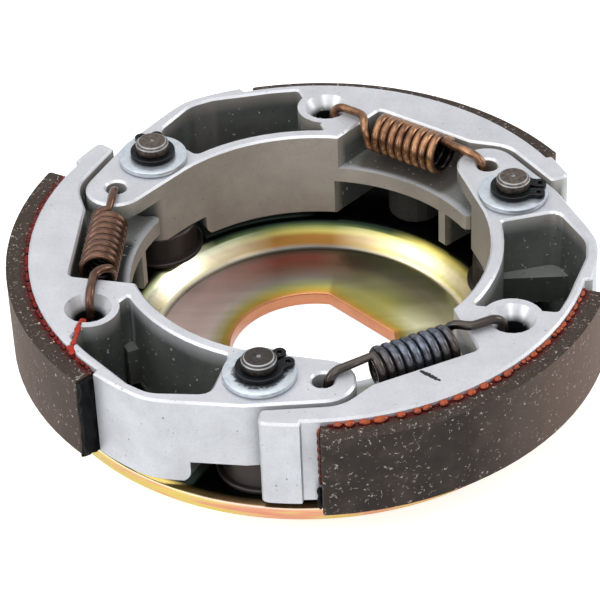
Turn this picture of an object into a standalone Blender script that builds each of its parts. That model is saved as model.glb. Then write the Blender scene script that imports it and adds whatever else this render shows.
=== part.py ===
"""Centrifugal clutch with three pivoted shoes on a dished drive plate.

The clutch axis is Z and the plate's dished floor stands on Z = 0. Sizes are millimetres and degrees;
the meshes are made in metres. Shoe 1 is drawn where it lies; shoes 2 and 3 are turned by a third of
a turn each, clockwise from above.
"""

import math

import bmesh
import bpy
from mathutils import Matrix, Vector

MM = 0.001
GAP = 0.2
SHOES = 3
TURN = -360.0 / SHOES

OUTER_RADIUS = 50.0
RING_WIDTH = 18.2
INNER_RADIUS = OUTER_RADIUS - RING_WIDTH

PLATE_THICKNESS = 2.6
PLATE_RADIUS = OUTER_RADIUS - 1.1
DISH_DEPTH = 4.25
DISH_SHOULDER_RADIUS = INNER_RADIUS + 0.6
DISH_SHOULDER_WIDTH = 3.7
DISH_BEND_RADIUS = DISH_SHOULDER_RADIUS - DISH_SHOULDER_WIDTH
PLATE_EDGE_ROUND = 0.3
SPINDLE_HOLE_RADIUS = 14.8
SPINDLE_FLAT_DEPTH = 2.5
SPINDLE_FLAT_ANGLE = 43.0

PIVOT_INSET = 11.8
PIVOT_CIRCLE_RADIUS = OUTER_RADIUS - PIVOT_INSET
PIVOT_ANGLE = 16.5
PIN_DIAMETER = 6.0
PIN_STANDOUT = 4.2
PIN_TOP_CHAMFER = 0.55
PIN_DIMPLE_RADIUS = 1.0
PIN_DIMPLE_DEPTH = 0.35
PIN_TAIL_DIAMETER = 5.0
RIVET_HEAD_RADIUS = 3.6
RIVET_HEAD_HEIGHT = 1.0
COLLAR_RADIUS = 7.1
COLLAR_HEIGHT = 5.8
COLLAR_FOOT_RADIUS = 8.1
COLLAR_FOOT_HEIGHT = 0.8

WASHER_RADIUS = 6.2
WASHER_THICKNESS = 0.9
CLIP_THICKNESS = 0.9
CLIP_GROOVE_DEPTH = 0.55
CLIP_OUTER_RADIUS = 4.0
CLIP_LUG_RADIUS = 5.8
CLIP_LUG_ANGLE = 7.0
CLIP_LUG_WIDTH_ANGLE = 19.0
CLIP_HOLE_RADIUS = 0.55
CLIP_DIRECTION_ANGLES = (-10.0, 29.0, 100.0)

SHOE_THICKNESS = 12.9
FOOT_DROP = 4.5
FOOT_STEP = 3.4
FOOT_CORNER_ROUND = 2.4
SHOE_EDGE_CHAMFER = 0.4
INNER_WALL = 2.3
LINING_SEAT_DEPTH = 0.95
OUTER_WALL = 1.6
HEEL_BULGE = 0.3
HEEL_ROUND = 10.0
ARM_START_ANGLE = 12.5
SHOULDER_INSET = 3.9
SHOULDER_ANGLE = 15.3
SHOULDER_ROUND = 4.0
WAIST_INSET = 1.2
WAIST_ANGLE = 1.4
WAIST_ROUND = 22.0
PIVOT_BOSS_RADIUS = 7.5

EAR_LENGTH = 10.5
EAR_ANGLE = 111.5
EAR_TIP_RADIUS = 5.5
EAR_THICKNESS = 3.3
EAR_GAP = 1.1
EAR_HOLE_RADIUS = 1.9
EAR_HOLE_FLARE = 2.3

TOE_END_ANGLE = -101.0
SEAT_TOE_ANGLE = -93.1
SEAT_PIVOT_ANGLE = -16.5
FINGER_ROUND = 1.2
FINGER_GAP = 0.6

HOOK_HOLE_INSET = 8.4
HOOK_HOLE_ANGLE = -35.9
HOOK_HOLE_RADIUS = 2.5
HOOK_HOLE_FLARE = 4.1
HOOK_FLARE_DEPTH = 2.6
HOOK_BOSS_RADIUS = 5.4
HOOK_WALL = 8.9

POCKET_PIVOT_WALL = 6.7
POCKET_PIVOT_SLANT = 4.0
POCKET_PIVOT_REACH = 6.2
POCKET_INNER_ANGLE = -36.2
POCKET_OUTER_ANGLE = -28.9
POCKET_ROUND = 0.9
POCKET_HEEL_ROUND = 2.2
POCKET_OUTER_ROUND = 6.0
POCKET_END_WALL = 1.6
POCKET_END_WEB = 1.2
POCKET_POST_WIDTH = 1.9

TROUGH_HALF_WIDTH = 4.6
TROUGH_DEPTH = 7.0
SHELF_THICKNESS = 3.0
SHELF_WALL = 3.0
LEG_ANGLE = -80.4
LEG_THICKNESS = 1.7

LINING_THICKNESS = 3.8
LINING_SPAN_ANGLE = 70.5
LINING_TOE_GAP_ANGLE = 3.8
LINING_SHIFT_ANGLES = (0.0, 0.9, -0.8)
LINING_SINKS = (0.0, 0.0, 1.2)
LINING_TOP_DROP = 1.1
LINING_FOOT_RISE = 0.4
LINING_EDGE_ROUND = 0.5

WIRE_DIAMETER = 1.6
COIL_DIAMETER = 7.1
COILS = 8
COIL_PITCH = 1.85
COIL_DROP = 1.1
HOOK_RISE = 0.3
HOOK_DEPTH = 4.2
HOOK_BEND = 2.6

DAMPER_INSET = 10.4
DAMPER_ANGLE = -61.0
DAMPER_RADIUS = 5.0
DAMPER_TOP_CLEARANCE = 0.8
STUD_DIAMETER = 4.0
STUD_HEAD_RADIUS = 3.2
STUD_HEAD_HEIGHT = 0.7

RIM_BOTTOM = DISH_DEPTH
RIM_TOP = DISH_DEPTH + PLATE_THICKNESS
SHOE_BOTTOM = RIM_TOP + COLLAR_HEIGHT + 2 * GAP
SHOE_TOP = SHOE_BOTTOM + SHOE_THICKNESS
FOOT_BOTTOM = SHOE_BOTTOM - FOOT_DROP
SHELF_TOP = SHOE_TOP - TROUGH_DEPTH
SHELF_BOTTOM = SHELF_TOP - SHELF_THICKNESS
PIN_RADIUS = PIN_DIAMETER / 2
SEAT_RADIUS = OUTER_RADIUS - LINING_SEAT_DEPTH
LINING_INNER_RADIUS = SEAT_RADIUS + GAP
WIRE_RADIUS = WIRE_DIAMETER / 2
COIL_RADIUS = COIL_DIAMETER / 2 - WIRE_RADIUS
BEYOND = 2.0


def polar(radius, angle):
    """The point at a radius and an angle round the clutch axis."""
    return Vector((radius * math.cos(math.radians(angle)), radius * math.sin(math.radians(angle))))


def turned_by(point, angle):
    """A plan point turned round the clutch axis."""
    return Vector(point) @ Matrix.Rotation(-math.radians(angle), 2)


def arc(centre, radius, start, end, steps):
    """Points on an arc, from the start angle to the end angle."""
    angles = [start + (end - start) * i / steps for i in range(steps + 1)]
    return [Vector(centre) + polar(radius, a) for a in angles]


def angle_of(vector):
    return math.degrees(math.atan2(vector[1], vector[0]))


def tangent_angle(centre, radius, point, side):
    """The angle on a circle where a line from a point outside touches it; side picks which of the two."""
    away = Vector(point) - Vector(centre)
    return angle_of(away) + side * math.degrees(math.acos(radius / away.length))


def crossing(a, b, c, d):
    """Where the line through a and b meets the line through c and d."""
    u, v = b - a, d - c
    t = (c - a).cross(v) / u.cross(v)
    return a + u * t


def circle_crossing(a, b, radius):
    """Where the line from a through b leaves the circle of a radius round the clutch axis."""
    u = (b - a).normalized()
    along = -a.dot(u)
    near = a + u * along
    return near + u * math.sqrt(radius * radius - near.dot(near))


def rounded(corners, steps=3):
    """An outline with fillets: each corner is a point, or a point with a fillet radius and perhaps its steps."""
    flat = [(Vector(c[0]), *c[1:]) if isinstance(c, tuple) else (Vector(c), 0.0) for c in corners]
    points = []
    for i, (p, r, *own) in enumerate(flat):
        if r == 0.0:
            points.append(p)
            continue
        u = (flat[i - 1][0] - p).normalized()
        v = (flat[(i + 1) % len(flat)][0] - p).normalized()
        half = u.angle(v) / 2
        centre = p + (u + v).normalized() * (r / math.sin(half))
        first = p + u * (r / math.tan(half)) - centre
        last = p + v * (r / math.tan(half)) - centre
        sweep = (angle_of(last) - angle_of(first) + 180.0) % 360.0 - 180.0
        points += arc(centre, r, angle_of(first), angle_of(first) + sweep, *(own or [steps]))
    return points


def grown(points, distance):
    """An outline moved outwards, anticlockwise outlines growing and clockwise ones shrinking."""
    moved = []
    for i, p in enumerate(points):
        before = (p - points[i - 1]).normalized()
        after = (points[(i + 1) % len(points)] - p).normalized()
        n1 = Vector((before.y, -before.x))
        n2 = Vector((after.y, -after.x))
        moved.append(p + (n1 + n2) * (distance / (1.0 + n1.dot(n2))))
    return moved


def add_object(name, bm, material=None):
    bmesh.ops.recalc_face_normals(bm, faces=bm.faces)
    bmesh.ops.scale(bm, vec=(MM, MM, MM), verts=bm.verts)
    mesh = bpy.data.meshes.new(name)
    bm.to_mesh(mesh)
    bm.free()
    if material is not None:
        mesh.materials.append(material)
    obj = bpy.data.objects.new(name, mesh)
    bpy.context.scene.collection.objects.link(obj)
    return obj


def extruded(name, outline, levels, material=None):
    """A solid on an outline. Each level is a height and how far the outline is grown there."""
    bm = bmesh.new()
    loops = []
    for z, distance in levels:
        loops.append([bm.verts.new((p.x, p.y, z)) for p in grown(outline, distance)])
    for low, high in zip(loops, loops[1:]):
        for i, vert in enumerate(low):
            bm.faces.new((low[i - 1], vert, high[i], high[i - 1]))
    bm.faces.new(list(reversed(loops[0])))
    bm.faces.new(loops[-1])
    return add_object(name, bm, material)


def lathed(name, profile, steps, material=None, centre=(0.0, 0.0)):
    """A solid turned from a profile of radius and height. A profile off the axis is a closed ring."""
    bm = bmesh.new()
    verts = [bm.verts.new((r, 0.0, z)) for r, z in profile]
    edges = [bm.edges.new(pair) for pair in zip(verts, verts[1:])]
    if profile[0][0] > 0.0:
        edges.append(bm.edges.new((verts[-1], verts[0])))
    bmesh.ops.spin(bm, geom=verts + edges, cent=(0, 0, 0), axis=(0, 0, 1), angle=2 * math.pi,
                   steps=steps, use_merge=True, use_duplicate=False)
    bmesh.ops.remove_doubles(bm, verts=bm.verts, dist=0.001)
    bmesh.ops.translate(bm, vec=(centre[0], centre[1], 0.0), verts=bm.verts)
    return add_object(name, bm, material)


def drill(centre, radius, bottom, top, flare=0.0, flare_depth=0.0, steps=20):
    """A cutter for a round hole, widened at its upper mouth when it has a flare."""
    profile = [(0.0, bottom), (radius, bottom)]
    if flare > 0.0:
        slope = (flare - radius) / flare_depth
        profile += [(radius, top - flare_depth), (flare + slope * BEYOND, top + BEYOND)]
    else:
        profile += [(radius, top + BEYOND)]
    profile.append((0.0, profile[-1][1]))
    return lathed("cutter", profile, steps, centre=centre)


def carve(obj, cutters):
    """Takes the cutters away from a solid and gives it the finished mesh."""
    for cutter in cutters:
        cutter.hide_render = True
        cutter.display_type = "WIRE"
        cut = obj.modifiers.new(cutter.name, "BOOLEAN")
        cut.operation = "DIFFERENCE"
        cut.solver = "EXACT"
        cut.object = cutter
    graph = bpy.context.evaluated_depsgraph_get()
    mesh = bpy.data.meshes.new_from_object(obj.evaluated_get(graph))
    obj.modifiers.clear()
    obj.data = mesh
    for cutter in cutters:
        bpy.data.objects.remove(cutter)
    return obj


def smooth(obj, angle=30.0):
    obj.data.shade_smooth()
    obj.data.set_sharp_from_angle(angle=math.radians(angle))


def finish(name, colour, roughness, metallic):
    material = bpy.data.materials.new(name)
    material.use_nodes = True
    shader = material.node_tree.nodes["Principled BSDF"]
    shader.inputs["Base Color"].default_value = (*colour, 1.0)
    shader.inputs["Roughness"].default_value = roughness
    shader.inputs["Metallic"].default_value = metallic
    return material


PIVOT = polar(PIVOT_CIRCLE_RADIUS, PIVOT_ANGLE)
NEXT_PIVOT = turned_by(PIVOT, TURN)
EAR_TIP = PIVOT + polar(EAR_LENGTH, EAR_ANGLE)
NEXT_EAR_TIP = turned_by(EAR_TIP, TURN)
HOOK_HOLE = polar(OUTER_RADIUS - HOOK_HOLE_INSET, HOOK_HOLE_ANGLE)
SHOULDER = polar(OUTER_RADIUS - SHOULDER_INSET, SHOULDER_ANGLE)
SPRING_RUN = HOOK_HOLE - NEXT_EAR_TIP
SPRING_WAY = SPRING_RUN.normalized()
SPRING_SIDE = Vector((SPRING_WAY.y, -SPRING_WAY.x))
DAMPER = polar(OUTER_RADIUS - DAMPER_INSET, DAMPER_ANGLE)


def ear_gap_line():
    """Two points on the toe's inner edge, which follows the next shoe's ear at the running gap."""
    touch = tangent_angle(EAR_TIP, EAR_TIP_RADIUS, SHOULDER, 1)
    outwards = polar(1.0, touch)
    on_ear = EAR_TIP + outwards * (EAR_TIP_RADIUS + EAR_GAP)
    at_shoulder = SHOULDER + outwards * EAR_GAP
    return turned_by(on_ear, TURN), turned_by(at_shoulder, TURN)


def trough_wall():
    """The wall that ends the spring's trough: where it meets the bore of the ring, and its outer corner."""
    inner = polar(INNER_RADIUS + 0.9, HOOK_HOLE_ANGLE - 6.0)
    outer = HOOK_HOLE - SPRING_WAY * HOOK_WALL + SPRING_SIDE * TROUGH_HALF_WIDTH
    return inner, outer


def shoe_outline():
    """The whole plan of the shoe, anticlockwise, from the toe round the outside to the ear and back."""
    on_ear, at_shoulder = ear_gap_line()
    toe_inner = crossing(on_ear, at_shoulder, Vector((0, 0)), polar(1.0, TOE_END_ANGLE))
    notch = PIVOT_BOSS_RADIUS + FINGER_GAP
    squares = INNER_RADIUS ** 2 + PIVOT_CIRCLE_RADIUS ** 2 - notch ** 2
    spread = math.degrees(math.acos(squares / (2 * INNER_RADIUS * PIVOT_CIRCLE_RADIUS)))
    finger_angle = PIVOT_ANGLE + TURN + spread
    finger_tip = polar(INNER_RADIUS, finger_angle)
    notch_start = angle_of(finger_tip - NEXT_PIVOT) - 25.0
    gap_side = tangent_angle(EAR_TIP, EAR_TIP_RADIUS, SHOULDER, 1)
    arm_start = polar(INNER_RADIUS, ARM_START_ANGLE)
    bore_side = tangent_angle(EAR_TIP, EAR_TIP_RADIUS, arm_start, -1) + 360.0
    corners = [(toe_inner, 0.9), (polar(OUTER_RADIUS, TOE_END_ANGLE), 1.2)]
    corners += arc((0, 0), OUTER_RADIUS, TOE_END_ANGLE + 3.0, SEAT_TOE_ANGLE, 2)
    corners += arc((0, 0), SEAT_RADIUS, SEAT_TOE_ANGLE + 0.3, SEAT_PIVOT_ANGLE - 0.6, 20)
    heel = OUTER_RADIUS + HEEL_BULGE
    corners += arc((0, 0), heel, SEAT_PIVOT_ANGLE, WAIST_ANGLE - 8.0, 3)
    corners.append((polar(heel, WAIST_ANGLE - 5.0), HEEL_ROUND, 4))
    corners += [(polar(OUTER_RADIUS - WAIST_INSET, WAIST_ANGLE), WAIST_ROUND, 6), (SHOULDER, SHOULDER_ROUND)]
    corners += arc(EAR_TIP, EAR_TIP_RADIUS, gap_side, bore_side, 14)
    corners += arc((0, 0), INNER_RADIUS, ARM_START_ANGLE, finger_angle + 6.5, 22)
    corners.append((finger_tip, FINGER_ROUND))
    corners += arc(NEXT_PIVOT, notch, notch_start, -78.0, 9)
    return rounded(corners)


def trough_cutter():
    """Opens the spring's trough down to its shelf, and the room for the next shoe's ear."""
    on_ear, at_shoulder = ear_gap_line()
    inner, outer = trough_wall()
    clear = EAR_TIP_RADIUS + EAR_GAP
    touch = angle_of(on_ear - NEXT_EAR_TIP)
    bend = touch + 42.0
    leaves = NEXT_EAR_TIP + polar(clear, bend)
    heading = polar(1.0, bend + 90.0)
    lip = crossing(leaves, leaves + heading, outer, outer - SPRING_WAY)
    past_bore = inner + (inner - outer).normalized() * 3.0
    past_toe = on_ear + (at_shoulder - on_ear) * 1.5
    corners = [past_toe] + arc(NEXT_EAR_TIP, clear, touch, bend, 6)
    corners += [(lip, 1.6), (outer, 1.0), past_bore, polar(INNER_RADIUS - 6.0, -75.0)]
    corners.append(past_toe + polar(INNER_RADIUS / 2, 90.0))
    levels = [(SHELF_TOP, 0.0), (SHOE_TOP - SHOE_EDGE_CHAMFER, 0.0),
              (SHOE_TOP + SHOE_EDGE_CHAMFER, 2 * SHOE_EDGE_CHAMFER)]
    return extruded("trough", rounded(corners), levels)


def ear_cutter():
    """Leaves only the thin ear outside the pivot boss."""
    gap_normal = tangent_angle(EAR_TIP, EAR_TIP_RADIUS, SHOULDER, 1)
    reach = EAR_LENGTH + EAR_TIP_RADIUS + BEYOND
    corners = arc(PIVOT, PIVOT_BOSS_RADIUS, gap_normal + 165.0, gap_normal, 16)
    corners += arc(PIVOT, reach, gap_normal, gap_normal + 165.0, 6)
    levels = [(FOOT_BOTTOM - BEYOND, 0.0), (SHOE_TOP - EAR_THICKNESS, 0.0)]
    return extruded("under_ear", corners, levels)


def foot_cutter():
    """Raises the arm's underside from the foot's, with the foot's corner rounded."""
    low, high = FOOT_BOTTOM, SHOE_BOTTOM
    r = FOOT_CORNER_ROUND
    corner = arc((FOOT_STEP - r, low + r), r, 0.0, -90.0, 5)
    reach = OUTER_RADIUS
    section = [Vector((reach, high)), Vector((FOOT_STEP, high))] + corner
    section += [Vector((FOOT_STEP - r, low - BEYOND)), Vector((reach, low - BEYOND))]
    bm = bmesh.new()
    near = [bm.verts.new((INNER_RADIUS / 2, p.x, p.y)) for p in section]
    end = bmesh.ops.extrude_face_region(bm, geom=[bm.faces.new(near)])
    moved = [v for v in end["geom"] if isinstance(v, bmesh.types.BMVert)]
    bmesh.ops.translate(bm, vec=(reach, 0, 0), verts=moved)
    return add_object("foot_step", bm)


def pocket_cutter():
    """The weight-saving pocket between the pivot boss, the two walls and the hook's boss."""
    inner = INNER_RADIUS + INNER_WALL
    at_pivot = OUTER_RADIUS - OUTER_WALL
    at_toe = SEAT_RADIUS - OUTER_WALL
    across = polar(1.0, PIVOT_ANGLE - POCKET_PIVOT_SLANT)
    foot = PIVOT + polar(POCKET_PIVOT_WALL, PIVOT_ANGLE - POCKET_PIVOT_SLANT - 90.0)
    seat_end = SEAT_PIVOT_ANGLE - 2.0
    corners = [(polar(inner, POCKET_INNER_ANGLE), POCKET_ROUND / 2)]
    corners.append((polar(at_toe, POCKET_OUTER_ANGLE), POCKET_ROUND))
    corners += arc((0, 0), at_toe, POCKET_OUTER_ANGLE + 5.0, seat_end, 2)
    corners.append(polar(at_pivot, seat_end + 9.0))
    corners.append((polar(at_pivot, -4.0), POCKET_OUTER_ROUND, 4))
    corners.append((foot + across * POCKET_PIVOT_REACH, POCKET_HEEL_ROUND))
    corners.append((circle_crossing(foot, foot + across, inner), POCKET_ROUND))
    corners += arc((0, 0), inner, 1.0, POCKET_INNER_ANGLE + 5.0, 7)
    levels = [(FOOT_BOTTOM - BEYOND, 0.0), (SHOE_TOP - SHOE_EDGE_CHAMFER, 0.0),
              (SHOE_TOP + SHOE_EDGE_CHAMFER, 2 * SHOE_EDGE_CHAMFER)]
    pocket = extruded("pocket", rounded(corners), levels)
    low = FOOT_BOTTOM - 2 * BEYOND
    boss = drill(HOOK_HOLE, HOOK_BOSS_RADIUS, low, SHOE_TOP, steps=32)
    near = FOOT_STEP - POCKET_END_WALL
    end_wall = [Vector((inner, near)), Vector((OUTER_RADIUS, near)), Vector((OUTER_RADIUS, PIVOT.y)),
                Vector((inner, PIVOT.y))]
    corner = polar(inner - 1.0, POCKET_INNER_ANGLE - 2.0)
    out = polar(POCKET_POST_WIDTH + 1.0, POCKET_INNER_ANGLE)
    along = polar(POCKET_POST_WIDTH + 2.0, POCKET_INNER_ANGLE + 90.0)
    post = [corner, corner + out, corner + out + along, corner + along]
    kept = [extruded("end_wall", end_wall, [(low, 0.0), (SHOE_BOTTOM + POCKET_END_WEB, 0.0)]),
            extruded("post", post, [(low, 0.0), (SHELF_BOTTOM, 0.0)])]
    return carve(pocket, [boss] + kept)


def damper_room_cutter():
    """The room under the shelf in which the rubber damper stands, between the hook's boss and the leg."""
    inner, outer = trough_wall()
    wall = SEAT_RADIUS - SHELF_WALL
    shift = SPRING_WAY * 0.7
    leg = polar(1.0, LEG_ANGLE)
    side = Vector((-leg.y, leg.x)) * (LEG_THICKNESS / 2)
    leg_near = leg * (INNER_RADIUS - BEYOND) + side
    leg_far = circle_crossing(side, side + leg, wall)
    corner = circle_crossing(inner + shift, outer + shift, wall)
    past_bore = inner + shift + (inner - outer).normalized() * BEYOND
    corners = [leg_near, (leg_far, 1.2)]
    corners += arc((0, 0), wall, angle_of(leg_far) + 4.0, angle_of(corner) - 4.0, 8)
    corners += [(corner, 1.2), past_bore]
    levels = [(FOOT_BOTTOM - BEYOND, 0.0), (SHELF_BOTTOM, 0.0)]
    return extruded("damper_room", rounded(corners), levels)


def finger_room_cutter():
    """The open space under the shelf's end, between the leg and the toe."""
    on_ear, at_shoulder = ear_gap_line()
    leg = polar(1.0, LEG_ANGLE)
    side = Vector((-leg.y, leg.x)) * (LEG_THICKNESS / -2)
    past_toe = on_ear + (at_shoulder - on_ear) * 1.5
    leg_far = crossing(side, side + leg, on_ear, at_shoulder)
    corners = [leg * (INNER_RADIUS - BEYOND) + side, past_toe + polar(INNER_RADIUS / 2, 90.0)]
    corners += [past_toe, (leg_far, 1.2)]
    levels = [(FOOT_BOTTOM - BEYOND, 0.0), (SHELF_BOTTOM, 0.0)]
    return extruded("finger_room", rounded(corners), levels)


def make_shoe_mesh(material):
    """One cast shoe, with its origin on its pivot's axis."""
    c = SHOE_EDGE_CHAMFER
    levels = [(FOOT_BOTTOM, -c), (FOOT_BOTTOM + c, 0.0), (SHOE_TOP - c, 0.0), (SHOE_TOP, -c)]
    shoe = extruded("shoe", shoe_outline(), levels, material)
    cutters = [trough_cutter(), ear_cutter(), foot_cutter(), pocket_cutter()]
    cutters += [damper_room_cutter(), finger_room_cutter()]
    low = FOOT_BOTTOM - BEYOND
    cutters.append(drill(PIVOT, PIN_RADIUS + GAP, low, SHOE_TOP, steps=24))
    cutters.append(drill(HOOK_HOLE, HOOK_HOLE_RADIUS, low, SHOE_TOP, HOOK_HOLE_FLARE, HOOK_FLARE_DEPTH, 20))
    ear_flare = EAR_HOLE_FLARE - EAR_HOLE_RADIUS
    cutters.append(drill(EAR_TIP, EAR_HOLE_RADIUS, low, SHOE_TOP, EAR_HOLE_FLARE, ear_flare, 16))
    carve(shoe, cutters)
    return shoe


def make_lining_mesh(material):
    """One curved friction block, bonded on the shoe's seat."""
    start = SEAT_TOE_ANGLE + LINING_TOE_GAP_ANGLE
    end = start + LINING_SPAN_ANGLE
    outer = LINING_INNER_RADIUS + LINING_THICKNESS
    step = 2.0
    corners = [(polar(outer, start), LINING_EDGE_ROUND)]
    corners += arc((0, 0), outer, start + step, end - step, 20)
    corners += [(polar(outer, end), LINING_EDGE_ROUND), polar(LINING_INNER_RADIUS, end)]
    corners += arc((0, 0), LINING_INNER_RADIUS, end - step, start + step, 20)
    corners.append(polar(LINING_INNER_RADIUS, start))
    top = SHOE_TOP - LINING_TOP_DROP
    bottom = FOOT_BOTTOM + LINING_FOOT_RISE
    return extruded("lining", rounded(corners, 3), [(bottom, 0.0), (top, 0.0)], material)


def spring_path():
    """The wire's centre line: a hook into the next shoe's ear, the coil, and a hook into this shoe."""
    run = SPRING_RUN.length
    coil_length = COILS * COIL_PITCH
    start = (run - coil_length) / 2 - 1.1
    height = SHOE_TOP - COIL_DROP
    ride = SHOE_TOP + HOOK_RISE + WIRE_RADIUS
    bend = HOOK_BEND
    lean = 0.5
    quarter = [math.pi / 2 * i / 5 for i in range(6)]
    path = [(lean, 0.0, ride - HOOK_DEPTH)]
    path += [(lean + bend * (1 - math.cos(a)), 0.0, ride - bend * (1 - math.sin(a))) for a in quarter]
    turns = COILS
    steps = 9
    for i in range(turns * steps + 1):
        a = 2 * math.pi * i / steps
        path.append((start + coil_length * i / (turns * steps),
                     COIL_RADIUS * math.sin(a), height + COIL_RADIUS * math.cos(a)))
    end = run - lean
    path += [(end - bend * (1 - math.sin(a)), 0.0, ride - bend * (1 - math.cos(a))) for a in quarter]
    path.append((end, 0.0, ride - HOOK_DEPTH))
    return [(*(NEXT_EAR_TIP + SPRING_WAY * s + SPRING_SIDE * t), z) for s, t, z in path]


def make_spring(name, material):
    curve = bpy.data.curves.new(name, "CURVE")
    curve.dimensions = "3D"
    curve.bevel_depth = WIRE_RADIUS * MM
    curve.bevel_resolution = 1
    curve.use_fill_caps = True
    points = spring_path()
    spline = curve.splines.new("POLY")
    spline.points.add(len(points) - 1)
    for point, (x, y, z) in zip(spline.points, points):
        point.co = ((x - PIVOT.x) * MM, (y - PIVOT.y) * MM, z * MM, 1.0)
    curve.materials.append(material)
    obj = bpy.data.objects.new(name, curve)
    bpy.context.scene.collection.objects.link(obj)
    return obj


def make_plate(material):
    """The dished plate: a raised flat rim, a drawn shoulder and a floor with a double-flat hole."""
    t = PLATE_THICKNESS
    bend, shoulder = DISH_BEND_RADIUS, DISH_SHOULDER_RADIUS
    slope = math.atan2(DISH_DEPTH, shoulder - bend)
    back = t * math.tan(slope / 2)
    e = PLATE_EDGE_ROUND
    flat = SPINDLE_HOLE_RADIUS - SPINDLE_FLAT_DEPTH
    bore = flat / 2
    profile = [(bore, 0.0), (bend + back - 0.8, 0.0), (bend + back + 0.4, 0.5),
               (shoulder + back - 0.7, RIM_BOTTOM - 0.6), (shoulder + back + 0.8, RIM_BOTTOM),
               (PLATE_RADIUS - e, RIM_BOTTOM), (PLATE_RADIUS, RIM_BOTTOM + e),
               (PLATE_RADIUS, RIM_TOP - e), (PLATE_RADIUS - e, RIM_TOP), (shoulder + 1.2, RIM_TOP),
               (shoulder, RIM_TOP - 0.3), (shoulder - 0.9, RIM_TOP - 1.0), (bend + 0.5, t + 0.6),
               (bend - 0.4, t), (bore, t)]
    plate = lathed("drive_plate", profile, 56, material)
    half = math.degrees(math.acos(flat / SPINDLE_HOLE_RADIUS))
    first = SPINDLE_FLAT_ANGLE
    hole = arc((0, 0), SPINDLE_HOLE_RADIUS, first + half, first + 180.0 - half, 12)
    hole += arc((0, 0), SPINDLE_HOLE_RADIUS, first + 180.0 + half, first + 360.0 - half, 12)
    cutters = [extruded("spindle_hole", hole, [(-BEYOND, 0.0), (t + BEYOND, 0.0)])]
    for i in range(SHOES):
        pin = turned_by(PIVOT, i * TURN)
        stud = turned_by(DAMPER, i * TURN)
        cutters.append(drill(pin, PIN_TAIL_DIAMETER / 2 + GAP, RIM_BOTTOM - BEYOND, RIM_TOP))
        cutters.append(drill(stud, STUD_DIAMETER / 2 + GAP, RIM_BOTTOM - BEYOND, RIM_TOP))
    return carve(plate, cutters)


def rivet_tail(radius):
    """The lower end of a riveted shank, from the axis out to where it leaves the plate upwards."""
    head = RIM_BOTTOM - GAP
    return [(0.0, head - RIVET_HEAD_HEIGHT), (RIVET_HEAD_RADIUS * 0.7, head - RIVET_HEAD_HEIGHT),
            (RIVET_HEAD_RADIUS, head - 0.4), (RIVET_HEAD_RADIUS, head), (radius, head)]


def make_pin(name, material):
    """A pivot pin: riveted tail, thick collar that carries the shoe, shank, clip groove and bevelled top."""
    tail = PIN_TAIL_DIAMETER / 2
    seat = RIM_TOP + GAP
    collar_top = seat + COLLAR_HEIGHT
    top = SHOE_TOP + PIN_STANDOUT
    groove_low = SHOE_TOP + GAP + WASHER_THICKNESS + GAP / 2
    groove_high = groove_low + CLIP_THICKNESS + GAP
    groove = PIN_RADIUS - CLIP_GROOVE_DEPTH
    c = PIN_TOP_CHAMFER
    foot = seat + COLLAR_FOOT_HEIGHT
    profile = rivet_tail(tail)
    profile += [(tail, seat), (COLLAR_FOOT_RADIUS, seat), (COLLAR_FOOT_RADIUS, foot - 0.2),
                (COLLAR_FOOT_RADIUS - 0.3, foot), (COLLAR_RADIUS, foot), (COLLAR_RADIUS, collar_top - 0.4),
                (COLLAR_RADIUS - 0.4, collar_top), (PIN_RADIUS, collar_top), (PIN_RADIUS, groove_low),
                (groove, groove_low), (groove, groove_high), (PIN_RADIUS, groove_high),
                (PIN_RADIUS, top - c), (PIN_RADIUS - c, top), (PIN_DIMPLE_RADIUS, top),
                (0.0, top - PIN_DIMPLE_DEPTH)]
    return lathed(name, profile, 20, material)


def make_washer(name, material):
    bore = PIN_RADIUS + GAP
    low = SHOE_TOP + GAP
    high = low + WASHER_THICKNESS
    e = 0.2
    profile = [(bore, low), (WASHER_RADIUS - e, low), (WASHER_RADIUS, low + e), (WASHER_RADIUS, high - e),
               (WASHER_RADIUS - e, high), (bore, high)]
    return lathed(name, profile, 28, material)


def make_clip(name, material):
    """An external retaining ring: an open ring in the pin's groove, with two pierced lugs."""
    bore = PIN_RADIUS - CLIP_GROOVE_DEPTH + 0.15
    lug_end = CLIP_LUG_ANGLE + CLIP_LUG_WIDTH_ANGLE
    lug = [(polar(CLIP_LUG_RADIUS, CLIP_LUG_ANGLE), 0.5), (polar(CLIP_LUG_RADIUS, lug_end), 0.7)]
    outer = arc((0, 0), CLIP_OUTER_RADIUS, lug_end + 8.0, 352.0 - lug_end, 22)
    other = [(polar(CLIP_LUG_RADIUS, -lug_end), 0.7), (polar(CLIP_LUG_RADIUS, -CLIP_LUG_ANGLE), 0.5)]
    inner = arc((0, 0), bore, 360.0 - CLIP_LUG_ANGLE - 8.0, CLIP_LUG_ANGLE + 8.0, 20)
    low = SHOE_TOP + 2 * GAP + WASHER_THICKNESS
    levels = [(low, 0.0), (low + CLIP_THICKNESS, 0.0)]
    clip = extruded(name, rounded(lug + outer + other + inner, 3), levels, material)
    middle = (CLIP_OUTER_RADIUS + CLIP_LUG_RADIUS) / 2 - 0.3
    holes = [drill(polar(middle, side * (CLIP_LUG_ANGLE + CLIP_LUG_WIDTH_ANGLE / 2)), CLIP_HOLE_RADIUS,
                   low - BEYOND, low + CLIP_THICKNESS, steps=8) for side in (-1, 1)]
    return carve(clip, holes)


def make_stud(name, material):
    radius = STUD_DIAMETER / 2
    top = SHELF_BOTTOM - DAMPER_TOP_CLEARANCE
    low = top - STUD_HEAD_HEIGHT
    profile = rivet_tail(radius)
    profile += [(radius, low), (STUD_HEAD_RADIUS, low), (STUD_HEAD_RADIUS, top - 0.2),
                (STUD_HEAD_RADIUS - 0.3, top), (0.0, top)]
    return lathed(name, profile, 16, material)


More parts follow.
